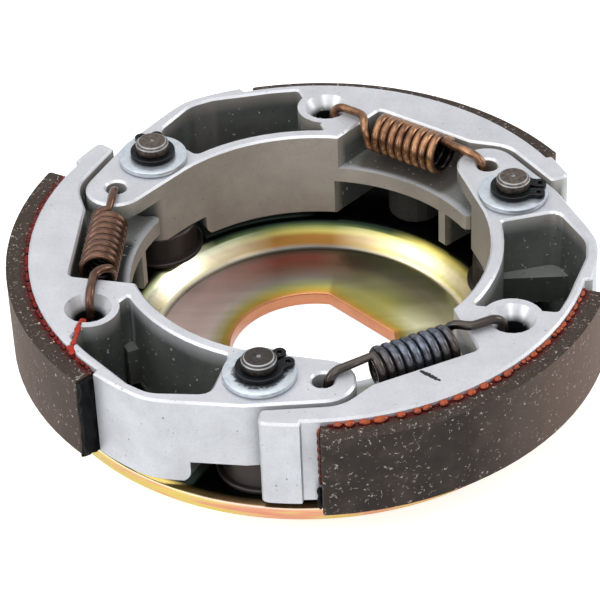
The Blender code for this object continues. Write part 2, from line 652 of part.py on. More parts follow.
def make_rubber(name, material):
    bore = STUD_DIAMETER / 2 + GAP
    low = RIM_TOP + GAP
    high = SHELF_BOTTOM - DAMPER_TOP_CLEARANCE - STUD_HEAD_HEIGHT - GAP
    e = 0.6
    profile = [(bore, low), (DAMPER_RADIUS - e, low), (DAMPER_RADIUS, low + e), (DAMPER_RADIUS, high - e),
               (DAMPER_RADIUS - e, high), (bore, high)]
    return lathed(name, profile, 16, material)


def on_pivot(obj, index):
    """Puts a piece that is drawn round the origin on its own pivot."""
    spot = turned_by(PIVOT, index * TURN)
    obj.location = (spot.x * MM, spot.y * MM, 0.0)
    obj.rotation_euler = (0.0, 0.0, math.radians(index * TURN))


def copy_of(pattern, name):
    obj = bpy.data.objects.new(name, pattern.data)
    bpy.context.scene.collection.objects.link(obj)
    return obj


def to_pivot_frame(obj):
    """Moves a mesh drawn round the clutch axis so that its origin is the pivot of shoe 1."""
    obj.data.transform(Matrix.Translation((-PIVOT.x * MM, -PIVOT.y * MM, 0.0)))


def main():
    for obj in list(bpy.data.objects):
        bpy.data.objects.remove(obj)
    aluminium = finish("cast_aluminium", (0.62, 0.64, 0.67), 0.45, 0.9)
    friction = finish("friction_lining", (0.07, 0.055, 0.045), 0.9, 0.0)
    chromate = finish("yellow_zinc", (0.62, 0.50, 0.22), 0.3, 1.0)
    pin_steel = finish("pin_steel", (0.20, 0.17, 0.15), 0.4, 0.9)
    washer_steel = finish("zinc_washer", (0.60, 0.64, 0.68), 0.3, 1.0)
    clip_steel = finish("black_clip", (0.03, 0.03, 0.035), 0.4, 0.8)
    spring_steel = finish("spring_wire", (0.12, 0.10, 0.09), 0.35, 0.9)
    rubber = finish("damper_rubber", (0.02, 0.02, 0.02), 0.8, 0.0)

    make_plate(chromate)
    shoe = make_shoe_mesh(aluminium)
    lining = make_lining_mesh(friction)
    for pattern in (shoe, lining):
        to_pivot_frame(pattern)
    stud = make_stud("stud", pin_steel)
    bush = make_rubber("bush", rubber)
    for index in range(SHOES):
        number = index + 1
        block = copy_of(shoe, f"shoe_{number}")
        on_pivot(block, index)
        pad = copy_of(lining, f"lining_{number}")
        pad.parent = block
        shift = Matrix.Translation((-PIVOT.x * MM, -PIVOT.y * MM, 0.0))
        turn = Matrix.Rotation(math.radians(LINING_SHIFT_ANGLES[index]), 4, "Z")
        sink = Matrix.Translation((0.0, 0.0, -LINING_SINKS[index] * MM))
        pad.matrix_local = sink @ shift @ turn @ shift.inverted()
        spring = make_spring(f"spring_{number}", spring_steel)
        spring.parent = block
        pin = make_pin(f"pivot_pin_{number}", pin_steel)
        washer = make_washer(f"washer_{number}", washer_steel)
        clip = make_clip(f"circlip_{number}", clip_steel)
        for piece in (pin, washer, clip):
            on_pivot(piece, index)
        clip.rotation_euler.z = math.radians(CLIP_DIRECTION_ANGLES[index])
        post = copy_of(stud, f"damper_stud_{number}")
        cushion = copy_of(bush, f"damper_rubber_{number}")
        spot = turned_by(DAMPER, index * TURN)
        for piece in (post, cushion):
            piece.location = (spot.x * MM, spot.y * MM, 0.0)
    for pattern in (shoe, lining, stud, bush):
        bpy.data.objects.remove(pattern)
    for obj in bpy.data.objects:
        if obj.type == "MESH":
            smooth(obj)


main()
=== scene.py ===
"""Looks for the centrifugal clutch: three cast shoes on a yellow zinc plate, in a white photo tent."""

import math
import random

import bmesh
import bpy
from mathutils import Matrix, Vector, noise


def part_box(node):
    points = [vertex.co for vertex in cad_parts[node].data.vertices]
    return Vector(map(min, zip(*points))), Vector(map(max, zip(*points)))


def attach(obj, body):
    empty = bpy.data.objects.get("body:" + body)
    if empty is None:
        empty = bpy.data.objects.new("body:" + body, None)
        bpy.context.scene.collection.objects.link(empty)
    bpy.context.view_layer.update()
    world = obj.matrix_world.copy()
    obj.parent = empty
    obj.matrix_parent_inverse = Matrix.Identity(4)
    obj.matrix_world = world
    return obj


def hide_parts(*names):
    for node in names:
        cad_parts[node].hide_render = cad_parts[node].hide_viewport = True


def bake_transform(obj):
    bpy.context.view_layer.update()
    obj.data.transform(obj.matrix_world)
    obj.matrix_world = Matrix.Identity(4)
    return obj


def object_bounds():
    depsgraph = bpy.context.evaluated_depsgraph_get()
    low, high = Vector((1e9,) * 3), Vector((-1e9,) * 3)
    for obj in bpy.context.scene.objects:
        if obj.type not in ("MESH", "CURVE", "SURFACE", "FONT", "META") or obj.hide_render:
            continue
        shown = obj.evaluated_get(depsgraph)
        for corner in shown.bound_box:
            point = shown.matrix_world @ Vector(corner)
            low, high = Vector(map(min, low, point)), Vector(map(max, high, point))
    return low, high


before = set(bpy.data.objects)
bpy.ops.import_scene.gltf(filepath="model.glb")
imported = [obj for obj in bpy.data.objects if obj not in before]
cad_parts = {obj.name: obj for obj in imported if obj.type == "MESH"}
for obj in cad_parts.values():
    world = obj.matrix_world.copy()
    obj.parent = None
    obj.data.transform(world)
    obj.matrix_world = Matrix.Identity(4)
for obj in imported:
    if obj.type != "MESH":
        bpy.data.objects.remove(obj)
cad_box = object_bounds()
# Unseeded, the noise that shapes the adhesive would start from the clock.
noise.seed_set(3)

# Lengths are in millimetres and angles in degrees. Shoe 1 is the front one, and the others follow clockwise.
MM = 0.001
TURN = -120.0
GAP = 0.2
# Vertices nearer to each other than this are merged.
WELD = 0.0005
BODIES = ("weight_1", "weight_2", "weight_3")
SHOE_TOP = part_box("shoe_1")[1][2] / MM
SEAT_RADIUS = 49.05
PIVOT_CIRCLE = 38.2
PIVOT_ANGLE = 16.5
EAR_LENGTH = 10.5
EAR_ANGLE = 111.5
HOOK_CIRCLE = 41.6
HOOK_ANGLE = -35.9
PLATE_RADIUS = 48.9
PLATE_THICKNESS = 2.6
RIM_BOTTOM = 4.25
RIM_TOP = RIM_BOTTOM + PLATE_THICKNESS
# The hole's two flats face along FLAT_ANGLE, each FLAT_RADIUS from the axis.
HOLE_RADIUS = 14.8
FLAT_RADIUS = 12.3
FLAT_ANGLE = 43.0
PIN_RADIUS = 3.0
PIN_STANDOUT = 4.2
TAIL_RADIUS = 2.5
RIVET_RADIUS = 3.6
RIVET_HEIGHT = 1.0
COLLAR_RADIUS = 7.1
COLLAR_HEIGHT = 5.8
FOOT_RADIUS = 8.1
FOOT_HEIGHT = 0.8
WASHER_RADIUS = 6.2
WASHER_THICKNESS = 0.9
WASHER_BOTTOM = SHOE_TOP + GAP
CLIP_RADIUS = 4.05
CLIP_THICKNESS = 0.9
CLIP_BOTTOM = WASHER_BOTTOM + WASHER_THICKNESS + GAP
CLIP_DIRECTIONS = (-10.0, 29.0, 100.0)
GROOVE_RADIUS = 2.45
# The wire lies WIRE_RIDE high at its hooks. The coil's middle is COIL_SHIFT from mid-span, towards the ear.
WIRE_RADIUS = 0.8
WIRE_RIDE = SHOE_TOP + 1.1
HOOK_DEPTH = 4.2
HOOK_BEND = 2.6
COILS = 8
COIL_PITCH = 1.85
COIL_SHIFT = 1.1


def polar(radius, angle):
    """The point in plan at a distance and an angle."""
    return Vector((radius * math.cos(math.radians(angle)), radius * math.sin(math.radians(angle))))


def arc(centre, radius, start, end, steps):
    """The points along an arc, with both its ends."""
    spots = [start + (end - start) * i / steps for i in range(steps + 1)]
    return [Vector(centre) + polar(radius, a) for a in spots]


PIVOTS = [polar(PIVOT_CIRCLE, PIVOT_ANGLE + TURN * i) for i in range(3)]


def below(depth):
    """A height in metres, from its depth below the shoes' top."""
    return (SHOE_TOP - depth) * MM


def spring_line(i):
    """In plan: the eye in the next shoe's ear, the spring's direction and length, and its coil's middle."""
    ear = PIVOTS[0] + polar(EAR_LENGTH, EAR_ANGLE)
    ear.rotate(Matrix.Rotation(math.radians(TURN), 2))
    hook = polar(HOOK_CIRCLE, HOOK_ANGLE)
    way = (hook - ear).normalized()
    length = (hook - ear).length
    middle = ear + way * (length / 2 - COIL_SHIFT)
    for part in (ear, way, middle):
        part.rotate(Matrix.Rotation(math.radians(TURN * i), 2))
    return ear, way, length, middle


def linear(code):
    """The linear colour of an sRGB hex value."""
    parts = [int(code[i:i + 2], 16) / 255 for i in (1, 3, 5)]
    parts = [p / 12.92 if p <= 0.04045 else ((p + 0.055) / 1.055) ** 2.4 for p in parts]
    return (*parts, 1.0)


def join(tree, node, inputs):
    """Sets a node's inputs, or links those whose value is another node's output."""
    for key, value in inputs.items():
        if isinstance(value, bpy.types.NodeSocket):
            tree.links.new(value, node.inputs[key])
        else:
            node.inputs[key].default_value = value


def add(tree, kind, inputs=None, stops=None, **settings):
    """Adds a node with its settings, its ramp's stops, and its values or links."""
    made = tree.nodes.new(kind)
    for key, value in settings.items():
        setattr(made, key, value)
    if stops:
        ramp = made.color_ramp
        while len(ramp.elements) < len(stops):
            ramp.elements.new(0.5)
        for element, (place, colour) in zip(ramp.elements, stops):
            element.position = place
            element.color = linear(colour) if isinstance(colour, str) else (colour, colour, colour, 1.0)
    join(tree, made, inputs or {})
    return made


def layer(tree, under, over, *edges):
    """Lays one finish over another, and gives the colour and the mask.

    Each edge is a mask, a strength, or a value with the numbers at which the upper finish starts and is full.
    """
    mask = 1.0
    for edge in edges:
        if isinstance(edge, tuple):
            value, none, full = edge
            edge = add(tree, "ShaderNodeMapRange", {"Value": value, "From Min": none,
                                                    "From Max": full}).outputs[0]
        mask = add(tree, "ShaderNodeMath", {0: mask, 1: edge}, operation="MULTIPLY").outputs[0]
    over = linear(over) if isinstance(over, str) else over
    colour = add(tree, "ShaderNodeMix", {"Factor": mask, 6: under, 7: over}, data_type="RGBA").outputs[2]
    return colour, mask


def survey(tree, place):
    """Of each point: its coordinates, its place and radius in plan, its normal and how far that looks up."""
    axes = add(tree, "ShaderNodeSeparateXYZ", {"Vector": place}).outputs
    plan = add(tree, "ShaderNodeVectorMath", {0: place, 1: (1.0, 1.0, 0.0)}, operation="MULTIPLY").outputs[0]
    radius = add(tree, "ShaderNodeVectorMath", {0: plan}, operation="LENGTH").outputs["Value"]
    normal = add(tree, "ShaderNodeNewGeometry").outputs["Normal"]
    up = add(tree, "ShaderNodeSeparateXYZ", {"Vector": normal}).outputs["Z"]
    return axes, plan, radius, normal, up


def blank(name):
    """A new material with its tree, shader and object coordinates."""
    material = bpy.data.materials.new(name)
    material.use_nodes = True
    tree = material.node_tree
    shader = tree.nodes["Principled BSDF"]
    place = add(tree, "ShaderNodeTexCoord").outputs["Object"]
    return material, tree, shader, place


def cast_aluminium():
    """Tumbled die-cast aluminium: blue-white flats, bright edges of rubbed wear and painted highlight,
    painted shade in the recesses.
    """
    material, tree, shader, place = blank("tumbled_cast_aluminium")
    axes, plan, radius, normal, up = survey(tree, place)
    height = axes["Z"]
    # On upright walls the dot of normal and place runs from -0.032 on the bore to +0.050 on the outside.
    out = add(tree, "ShaderNodeVectorMath", {0: normal, 1: place}, operation="DOT_PRODUCT").outputs["Value"]
    side = add(tree, "ShaderNodeMapRange", {"Value": out, "From Min": -0.03, "From Max": 0.045}).outputs[0]
    # Cloudy tones 6 mm across, and a tumbled grain of 0.4 mm, coarser than the real one so that it shows.
    cloud = add(tree, "ShaderNodeTexNoise", {"Vector": place, "Scale": 160.0, "Detail": 4.0,
                                             "Roughness": 0.6}).outputs["Fac"]
    grit = add(tree, "ShaderNodeTexNoise", {"Vector": place, "Scale": 2600.0, "Detail": 3.0}).outputs["Fac"]
    # The bore walls are painted darker and warmer than the outer walls: painted shade, and a painted
    # reflection of the yellow plate.
    walls = add(tree, "ShaderNodeValToRGB", {"Fac": side},
                [(0.0, "#A9A39C"), (0.35, "#ACA8A3"), (0.6, "#BFC2C4"), (1.0, "#CBCED3")]).outputs[0]
    # The walls have broad stains about 14 mm across.
    stain = add(tree, "ShaderNodeTexNoise", {"Vector": place, "Scale": 70.0, "Detail": 5.0,
                                             "Roughness": 0.7}).outputs["Fac"]
    stain = add(tree, "ShaderNodeValToRGB", {"Fac": stain}, [(0.35, 0.79), (0.65, 1.08)]).outputs[0]
    walls = add(tree, "ShaderNodeMix", {"Factor": 0.8, 6: walls, 7: stain},
                data_type="RGBA", blend_type="MULTIPLY").outputs[2]
    flat = add(tree, "ShaderNodeValToRGB", {"Fac": cloud}, [(0.3, "#BDBFC4"), (0.7, "#CBCCD2")]).outputs[0]
    body, level = layer(tree, walls, flat, (up, 0.15, 0.6))
    # Between the bore wall and the outer wall, and more than 0.5 mm below the top, lie the recesses. Painted
    # shade darkens them, less on their level faces than on their walls.
    recess_shade = add(tree, "ShaderNodeValToRGB", {"Fac": cloud}, [(0.3, "#565C5B"), (0.7, "#70726E")]).outputs[0]
    recess_shade, _ = layer(tree, recess_shade, "#A4A5A0", level, 0.6)
    enclosed = (out, 0.039, 0.036)
    body, shaded_recess = layer(tree, body, recess_shade, (radius, 0.0325, 0.0336), (radius, 0.0487, 0.0482),
                         (height, below(0.5), below(3.5)), enclosed)
    # Painted shade darkens two spring channels: the left one nearly black, the far one brown.
    for i, shade, strength in ((1, "#171C1C", 0.9), (2, "#4E473E", 0.75)):
        middle = spring_line(i)[3] * MM
        off = add(tree, "ShaderNodeVectorMath", {0: plan, 1: (middle.x, middle.y, 0.0)},
                  operation="DISTANCE").outputs["Value"]
        body, _ = layer(tree, body, shade, (off, 0.0105, 0.009), strength, (height, below(0.3), below(2.2)),
                        enclosed, (radius, 0.0322, 0.0332))
    # Edges and countersinks, where the face slopes, are bright, but less so at the outer rim: partly rubbed
    # wear, partly painted highlight.
    rubbed_and_highlight = add(tree, "ShaderNodeValToRGB", {"Fac": up},
                 [(0.2, 0.0), (0.4, 1.0), (0.85, 1.0), (0.96, 0.0)]).outputs[0]
    amount = add(tree, "ShaderNodeMapRange", {"Value": radius, "From Min": 0.046, "From Max": 0.048,
                                              "To Min": 0.45, "To Max": 0.12}).outputs[0]
    body, rubbed_and_highlight = layer(tree, body, "#E6E8EC", rubbed_and_highlight, amount)
    # Painted shade: the three hook holes go dark from 1.4 to 2.6 mm below the top.
    nearest = 1.0
    for i in range(3):
        spot = polar(HOOK_CIRCLE, HOOK_ANGLE + TURN * i) * MM
        off = add(tree, "ShaderNodeVectorMath", {0: plan, 1: (spot.x, spot.y, 0.0)},
                  operation="DISTANCE").outputs["Value"]
        nearest = add(tree, "ShaderNodeMath", {0: nearest, 1: off}, operation="MINIMUM").outputs[0]
    body, _ = layer(tree, body, "#17191B", (height, below(1.4), below(2.6)), (nearest, 0.0034, 0.0028))
    speck = add(tree, "ShaderNodeValToRGB", {"Fac": grit}, [(0.3, 0.86), (0.5, 1.0), (0.75, 1.05)]).outputs[0]
    body = add(tree, "ShaderNodeMix", {"Factor": 0.5, 6: body, 7: speck},
               data_type="RGBA", blend_type="MULTIPLY").outputs[2]
    # Sparse dark specks 0.3 mm across, and one ragged scuff about 4 mm long on the front shoe's top.
    dirt = add(tree, "ShaderNodeTexNoise", {"Vector": place, "Scale": 1300.0, "Detail": 2.0}).outputs["Fac"]
    dirt = add(tree, "ShaderNodeMapRange", {"Value": dirt, "From Min": 0.71, "From Max": 0.76,
                                            "To Max": 0.6}).outputs[0]
    scuff = add(tree, "ShaderNodeMapping", {"Vector": plan, "Location": (0.0190, -0.0387, 0.0),
                                            "Rotation": (0.0, 0.0, math.radians(-41.6)),
                                            "Scale": (1.0, 0.17, 1.0)}, vector_type="TEXTURE").outputs[0]
    scuff = add(tree, "ShaderNodeVectorMath", {0: scuff}, operation="LENGTH").outputs["Value"]
    ragged = add(tree, "ShaderNodeMapRange", {"Value": grit, "To Min": -0.0016, "To Max": 0.0016}).outputs[0]
    scuff = add(tree, "ShaderNodeMath", {0: scuff, 1: ragged}, operation="ADD").outputs[0]
    scuff = add(tree, "ShaderNodeMapRange", {"Value": scuff, "From Min": 0.0026,
                                             "From Max": 0.0021}).outputs[0]
    dirt = add(tree, "ShaderNodeMath", {0: dirt, 1: scuff}, operation="MAXIMUM").outputs[0]
    body, _ = layer(tree, body, "#18191B", dirt)
    # Pale dust 0.3 mm across clings to the recesses' painted shade.
    motes = add(tree, "ShaderNodeTexNoise", {"Vector": place, "Scale": 1250.0, "Detail": 1.0}).outputs["Fac"]
    body, _ = layer(tree, body, "#C4C8C8", (motes, 0.71, 0.75), shaded_recess)
    rough = add(tree, "ShaderNodeMapRange", {"Value": cloud, "To Min": 0.4, "To Max": 0.55}).outputs[0]
    rough = add(tree, "ShaderNodeMath", {0: rubbed_and_highlight, 1: -0.35, 2: rough}, operation="MULTIPLY_ADD").outputs[0]
    bump = add(tree, "ShaderNodeBump", {"Height": cloud, "Strength": 0.25, "Distance": 0.0002}).outputs[0]
    bump = add(tree, "ShaderNodeBump", {"Height": grit, "Strength": 0.35, "Distance": 0.00003,
                                        "Normal": bump}).outputs[0]
    join(tree, shader, {"Base Color": body, "Roughness": rough, "Metallic": 0.4, "Normal": bump})
    return material


def friction_compound():
    """Moulded brake compound: dark brown-grey resin with short pale curved fibres and a gritty skin."""
    material, tree, shader, place = blank("moulded_friction_compound")
    axes, _, radius, _, up = survey(tree, place)
    # The resin is mottled, with 4 mm patches that break up into fine grit.
    base = add(tree, "ShaderNodeTexNoise", {"Vector": place, "Scale": 260.0, "Detail": 6.0}).outputs["Fac"]
    tone = add(tree, "ShaderNodeValToRGB", {"Fac": base},
               [(0.3, "#2C2623"), (0.5, "#352E2A"), (0.7, "#443B36")]).outputs[0]
    # Paler from 25 mm right of the clutch's middle, and more faintly from 33 mm left of it: painted sheen
    # where side light grazes the lining.
    left = add(tree, "ShaderNodeMath", {0: axes["X"], 1: -0.75}, operation="MULTIPLY").outputs[0]
    across = add(tree, "ShaderNodeMath", {0: axes["X"], 1: left}, operation="MAXIMUM").outputs[0]
    tone, _ = layer(tree, tone, "#7A685E", (across, 0.025, 0.050))
    # The narrow top face is darker than the rubbed outer face, with fine pale grit.
    grit = add(tree, "ShaderNodeTexNoise", {"Vector": place, "Scale": 2400.0, "Detail": 1.0}).outputs["Fac"]
    grit = add(tree, "ShaderNodeValToRGB", {"Fac": grit},
               [(0.3, "#332B27"), (0.7, "#443A34"), (0.8, "#A09484")]).outputs[0]
    tone, _ = layer(tree, tone, grit, (up, 0.4, 0.8))
    # Adhesive has soaked the top of the lining dark red within about 1 mm of the joint.
    edge = add(tree, "ShaderNodeTexNoise", {"Vector": place, "Scale": 700.0, "Detail": 2.0}).outputs["Fac"]
    tone, _ = layer(tree, tone, "#4A110F", (radius, 0.0508, 0.0499), (axes["Z"], 0.0234, 0.0236),
                    (edge, 0.36, 0.48))
    # A thin band round the noise's middle level draws curved fibres about 0.1 mm thick, and only the
    # peaks of a second noise, 0.7 mm apart, let a short length of one show, with more of them near the top.
    curl = add(tree, "ShaderNodeTexNoise", {"Vector": place, "Scale": 1050.0, "Detail": 1.0,
                                            "Distortion": 1.2}).outputs["Fac"]
    away = add(tree, "ShaderNodeMath", {0: curl, 1: 0.5}, operation="SUBTRACT").outputs[0]
    away = add(tree, "ShaderNodeMath", {0: away}, operation="ABSOLUTE").outputs[0]
    patch = add(tree, "ShaderNodeTexNoise", {"Vector": place, "Scale": 1500.0, "Detail": 0.0}).outputs["Fac"]
    crowd = add(tree, "ShaderNodeTexNoise", {"Vector": place, "Scale": 110.0, "Detail": 1.0}).outputs["Fac"]
    for value, start, end, low, high in ((crowd, 0.3, 0.7, -0.06, 0.07),
                                         (axes["Z"], 0.020, 0.023, -0.01, 0.035)):
        more = add(tree, "ShaderNodeMapRange", {"Value": value, "From Min": start, "From Max": end,
                                                "To Min": low, "To Max": high}).outputs[0]
        patch = add(tree, "ShaderNodeMath", {0: patch, 1: more}, operation="ADD").outputs[0]
    tone, fibre = layer(tree, tone, "#C6BCB0", (away, 0.03, 0.012), (patch, 0.67, 0.71))
    bump = add(tree, "ShaderNodeBump", {"Height": base, "Strength": 0.6, "Distance": 0.0002}).outputs[0]
    bump = add(tree, "ShaderNodeBump", {"Height": fibre, "Strength": 0.4, "Distance": 0.0001,
                                        "Normal": bump}).outputs[0]
    join(tree, shader, {"Base Color": tone, "Roughness": 0.75, "Specular IOR Level": 0.22, "Normal": bump})
    return material


def yellow_passivate():
    """Yellow zinc passivate: gold to rose and olive bands that change with the film's thickness, with painted
    reflections and painted shade.
    """
    material, tree, shader, place = blank("yellow_zinc_passivate")
    axes, plan, radius, _, up = survey(tree, place)
    # The bands follow the radius, and wander by up to 0.4 mm over some 22 mm.
    drift = add(tree, "ShaderNodeTexNoise", {"Vector": place, "Scale": 45.0, "Detail": 3.0}).outputs["Fac"]
    wobble = add(tree, "ShaderNodeMapRange", {"Value": drift, "To Min": -0.0004, "To Max": 0.0004}).outputs[0]
    band = add(tree, "ShaderNodeMath", {0: radius, 1: wobble}, operation="ADD").outputs[0]
    ring = add(tree, "ShaderNodeMapRange", {"Value": band, "From Min": 0.012, "From Max": 0.050}).outputs[0]
    # On the shoulder's slope, about 29 to 31.6 mm out, both ramps run nearly white: a painted reflection of
    # the white tent.
    rose = add(tree, "ShaderNodeValToRGB", {"Fac": ring},
               [(0.13, "#8E8E62"), (0.16, "#878A70"), (0.21, "#847A74"), (0.32, "#8E5C4A"), (0.37, "#A05C4E"),
                (0.41, "#AA8070"), (0.432, "#A8A08C"), (0.447, "#D0C8B4"), (0.463, "#F0E4BC"),
                (0.48, "#FFF4D0"), (0.5, "#FFFADC"), (0.516, "#E0E4CC"), (0.526, "#D0D4B0"),
                (0.537, "#B0B488"), (0.558, "#434424"), (0.62, "#BDB85C"), (0.9, "#C8AC60"),
                (1.0, "#C6B066")]).outputs[0]
    olive = add(tree, "ShaderNodeValToRGB", {"Fac": ring},
                [(0.13, "#98904C"), (0.16, "#90884A"), (0.21, "#828555"), (0.32, "#8C8970"),
                 (0.37, "#A6A684"), (0.41, "#B8B888"), (0.432, "#C4C090"), (0.447, "#DED1B5"),
                 (0.463, "#E6DC90"), (0.48, "#F6EABC"), (0.5, "#F4E6B4"), (0.516, "#D0C57C"),
                 (0.526, "#AD9E53"), (0.537, "#6C632D"), (0.558, "#2A321F"), (0.62, "#B2B45A"),
                 (0.9, "#BE9B6B"), (1.0, "#C09C6E")]).outputs[0]
    # The rosy film reaches over the left of the floor, but only the far left of the rim.
    shift = add(tree, "ShaderNodeMapRange", {"Value": radius, "From Min": 0.036, "From Max": 0.048,
                                             "To Max": 0.028}).outputs[0]
    across = add(tree, "ShaderNodeMath", {0: axes["X"], 1: shift}, operation="ADD").outputs[0]
    film, _ = layer(tree, rose, olive, (across, 0.001, 0.014))
    # Paler and pinker on the floor, from 6 mm left of the middle outwards.
    floor = (radius, 0.0285, 0.0280)
    film, pale = layer(tree, film, "#E6CEC8", (axes["X"], -0.006, -0.026), floor)
    # At the far side of the shoulder the film is painted dark brown, with a grey line at its foot: a painted
    # dark reflection that also holds down the top lamp's glare there. It reaches further round at the
    # shoulder's crest.
    far_shade = add(tree, "ShaderNodeValToRGB", {"Fac": ring},
              [(0.42, "#69503C"), (0.438, "#60605A"), (0.448, "#62605A"), (0.463, "#6B4A20"),
               (0.489, "#6F4E24"), (0.503, "#8A8044"), (0.514, "#6E6E40"), (0.524, "#3A4628"),
               (0.535, "#161F18")]).outputs[0]
    way = add(tree, "ShaderNodeVectorMath", {0: plan}, operation="NORMALIZE").outputs[0]
    behind = add(tree, "ShaderNodeVectorMath", {0: way, 1: (*polar(1.0, 92.0), 0.0)},
                 operation="DOT_PRODUCT").outputs["Value"]
    wide = add(tree, "ShaderNodeMapRange", {"Value": behind, "From Min": 0.72, "From Max": 0.86}).outputs[0]
    crest = add(tree, "ShaderNodeMapRange", {"Value": radius, "From Min": 0.0313,
                                             "From Max": 0.0318}).outputs[0]
    wide = add(tree, "ShaderNodeMath", {0: wide, 1: crest}, operation="MULTIPLY").outputs[0]
    narrow = add(tree, "ShaderNodeMapRange", {"Value": behind, "From Min": 0.77,
                                              "From Max": 0.985}).outputs[0]
    reach = add(tree, "ShaderNodeMath", {0: narrow, 1: wide}, operation="MAXIMUM").outputs[0]
    film, _ = layer(tree, film, far_shade, reach, (radius, 0.0279, 0.0284), (radius, 0.0345, 0.0335))
    # Greyer and paler again at the right of the floor, from the middle forwards.
    film, _ = layer(tree, film, "#C8C6A2", (axes["Y"], 0.011, 0.004), (axes["X"], 0.012, 0.017), floor)
    # Round the double-flat hole the film runs from salmon on the cut edge through ochre to olive in 4 mm.
    flats = add(tree, "ShaderNodeVectorMath", {0: place, 1: (*polar(1.0, FLAT_ANGLE), 0.0)},
                operation="DOT_PRODUCT").outputs["Value"]
    flats = add(tree, "ShaderNodeMath", {0: flats}, operation="ABSOLUTE").outputs[0]
    flats = add(tree, "ShaderNodeMath", {0: flats, 1: (HOLE_RADIUS - FLAT_RADIUS) * MM},
                operation="ADD").outputs[0]
    edge = add(tree, "ShaderNodeMath", {0: flats, 1: radius}, operation="MAXIMUM").outputs[0]
    edge = add(tree, "ShaderNodeMath", {0: wobble, 1: 0.5, 2: edge}, operation="MULTIPLY_ADD").outputs[0]
    edge = add(tree, "ShaderNodeMapRange", {"Value": edge, "From Min": HOLE_RADIUS * MM,
                                            "From Max": (HOLE_RADIUS + 4.4) * MM}).outputs[0]
    lip = add(tree, "ShaderNodeValToRGB", {"Fac": edge},
              [(0.0, "#B67C5C"), (0.06, "#AC7850"), (0.12, "#A67A40"), (0.2, "#9C7E34"), (0.4, "#92843E"),
               (1.0, "#88864E")]).outputs[0]
    film, _ = layer(tree, film, lip, (edge, 1.0, 0.3))
    # Faint wipe marks run from left to right.
    smear = add(tree, "ShaderNodeVectorMath", {0: place, 1: (0.15, 1.0, 1.0)},
                operation="MULTIPLY").outputs[0]
    smear = add(tree, "ShaderNodeTexNoise", {"Vector": smear, "Scale": 420.0, "Detail": 3.0}).outputs["Fac"]
    smear = add(tree, "ShaderNodeValToRGB", {"Fac": smear}, [(0.35, 0.86), (0.65, 1.06)]).outputs[0]
    film = add(tree, "ShaderNodeMix", {"Factor": 0.7, 6: film, 7: smear},
               data_type="RGBA", blend_type="MULTIPLY").outputs[2]
    # The sheared edge has streaks about 0.5 mm wide, mostly gold at the left and salmon at the right, and a
    # painted highlight along its upper arris.
    streak = add(tree, "ShaderNodeVectorMath", {0: place, 1: (0.08, 0.08, 1.0)},
                 operation="MULTIPLY").outputs[0]
    streak = add(tree, "ShaderNodeTexNoise", {"Vector": streak, "Scale": 900.0, "Detail": 2.0}).outputs["Fac"]
    streak = add(tree, "ShaderNodeMath", {0: axes["X"], 1: 4.5, 2: streak},
                 operation="MULTIPLY_ADD").outputs[0]
    streak = add(tree, "ShaderNodeMath", {0: streak, 1: 0.06}, operation="ADD").outputs[0]
    streak = add(tree, "ShaderNodeValToRGB", {"Fac": streak},
                 [(0.36, "#C8B450"), (0.47, "#CBB26C"), (0.54, "#CE9474"), (0.66, "#C87C6C")]).outputs[0]
    film, cut = layer(tree, film, streak, (radius, 0.0484, 0.0487), 0.75)
    arris_highlight = add(tree, "ShaderNodeValToRGB", {"Fac": up},
                [(0.15, 0.0), (0.4, 1.0), (0.9, 1.0), (0.98, 0.0)]).outputs[0]
    film, _ = layer(tree, film, "#FFF4DC", arris_highlight, cut)
    # Painted shade: under the shoes the plate is painted nearly black, from the shoulder to 47 mm out on the
    # upper face.
    film, _ = layer(tree, film, "#141C18", (radius, 0.0322, 0.0336), (radius, 0.0480, 0.0470),
                    (axes["Z"], 0.0053, 0.0060))
    # Rolled sheet keeps a fine grain under its film. It is drawn 0.7 mm wide, so that it shows.
    grain = add(tree, "ShaderNodeTexNoise", {"Vector": place, "Scale": 1500.0, "Detail": 2.0}).outputs["Fac"]
    rough = add(tree, "ShaderNodeMapRange", {"Value": grain, "To Min": 0.2, "To Max": 0.28}).outputs[0]
    # Where the film is pale it is milky, and hides some of the metal.
    milky = add(tree, "ShaderNodeMapRange", {"Value": pale, "To Min": 0.95, "To Max": 0.5}).outputs[0]
    bump = add(tree, "ShaderNodeBump", {"Height": grain, "Strength": 0.05, "Distance": 0.00003}).outputs[0]
    join(tree, shader, {"Base Color": film, "Roughness": rough, "Metallic": milky, "Normal": bump})
    return material


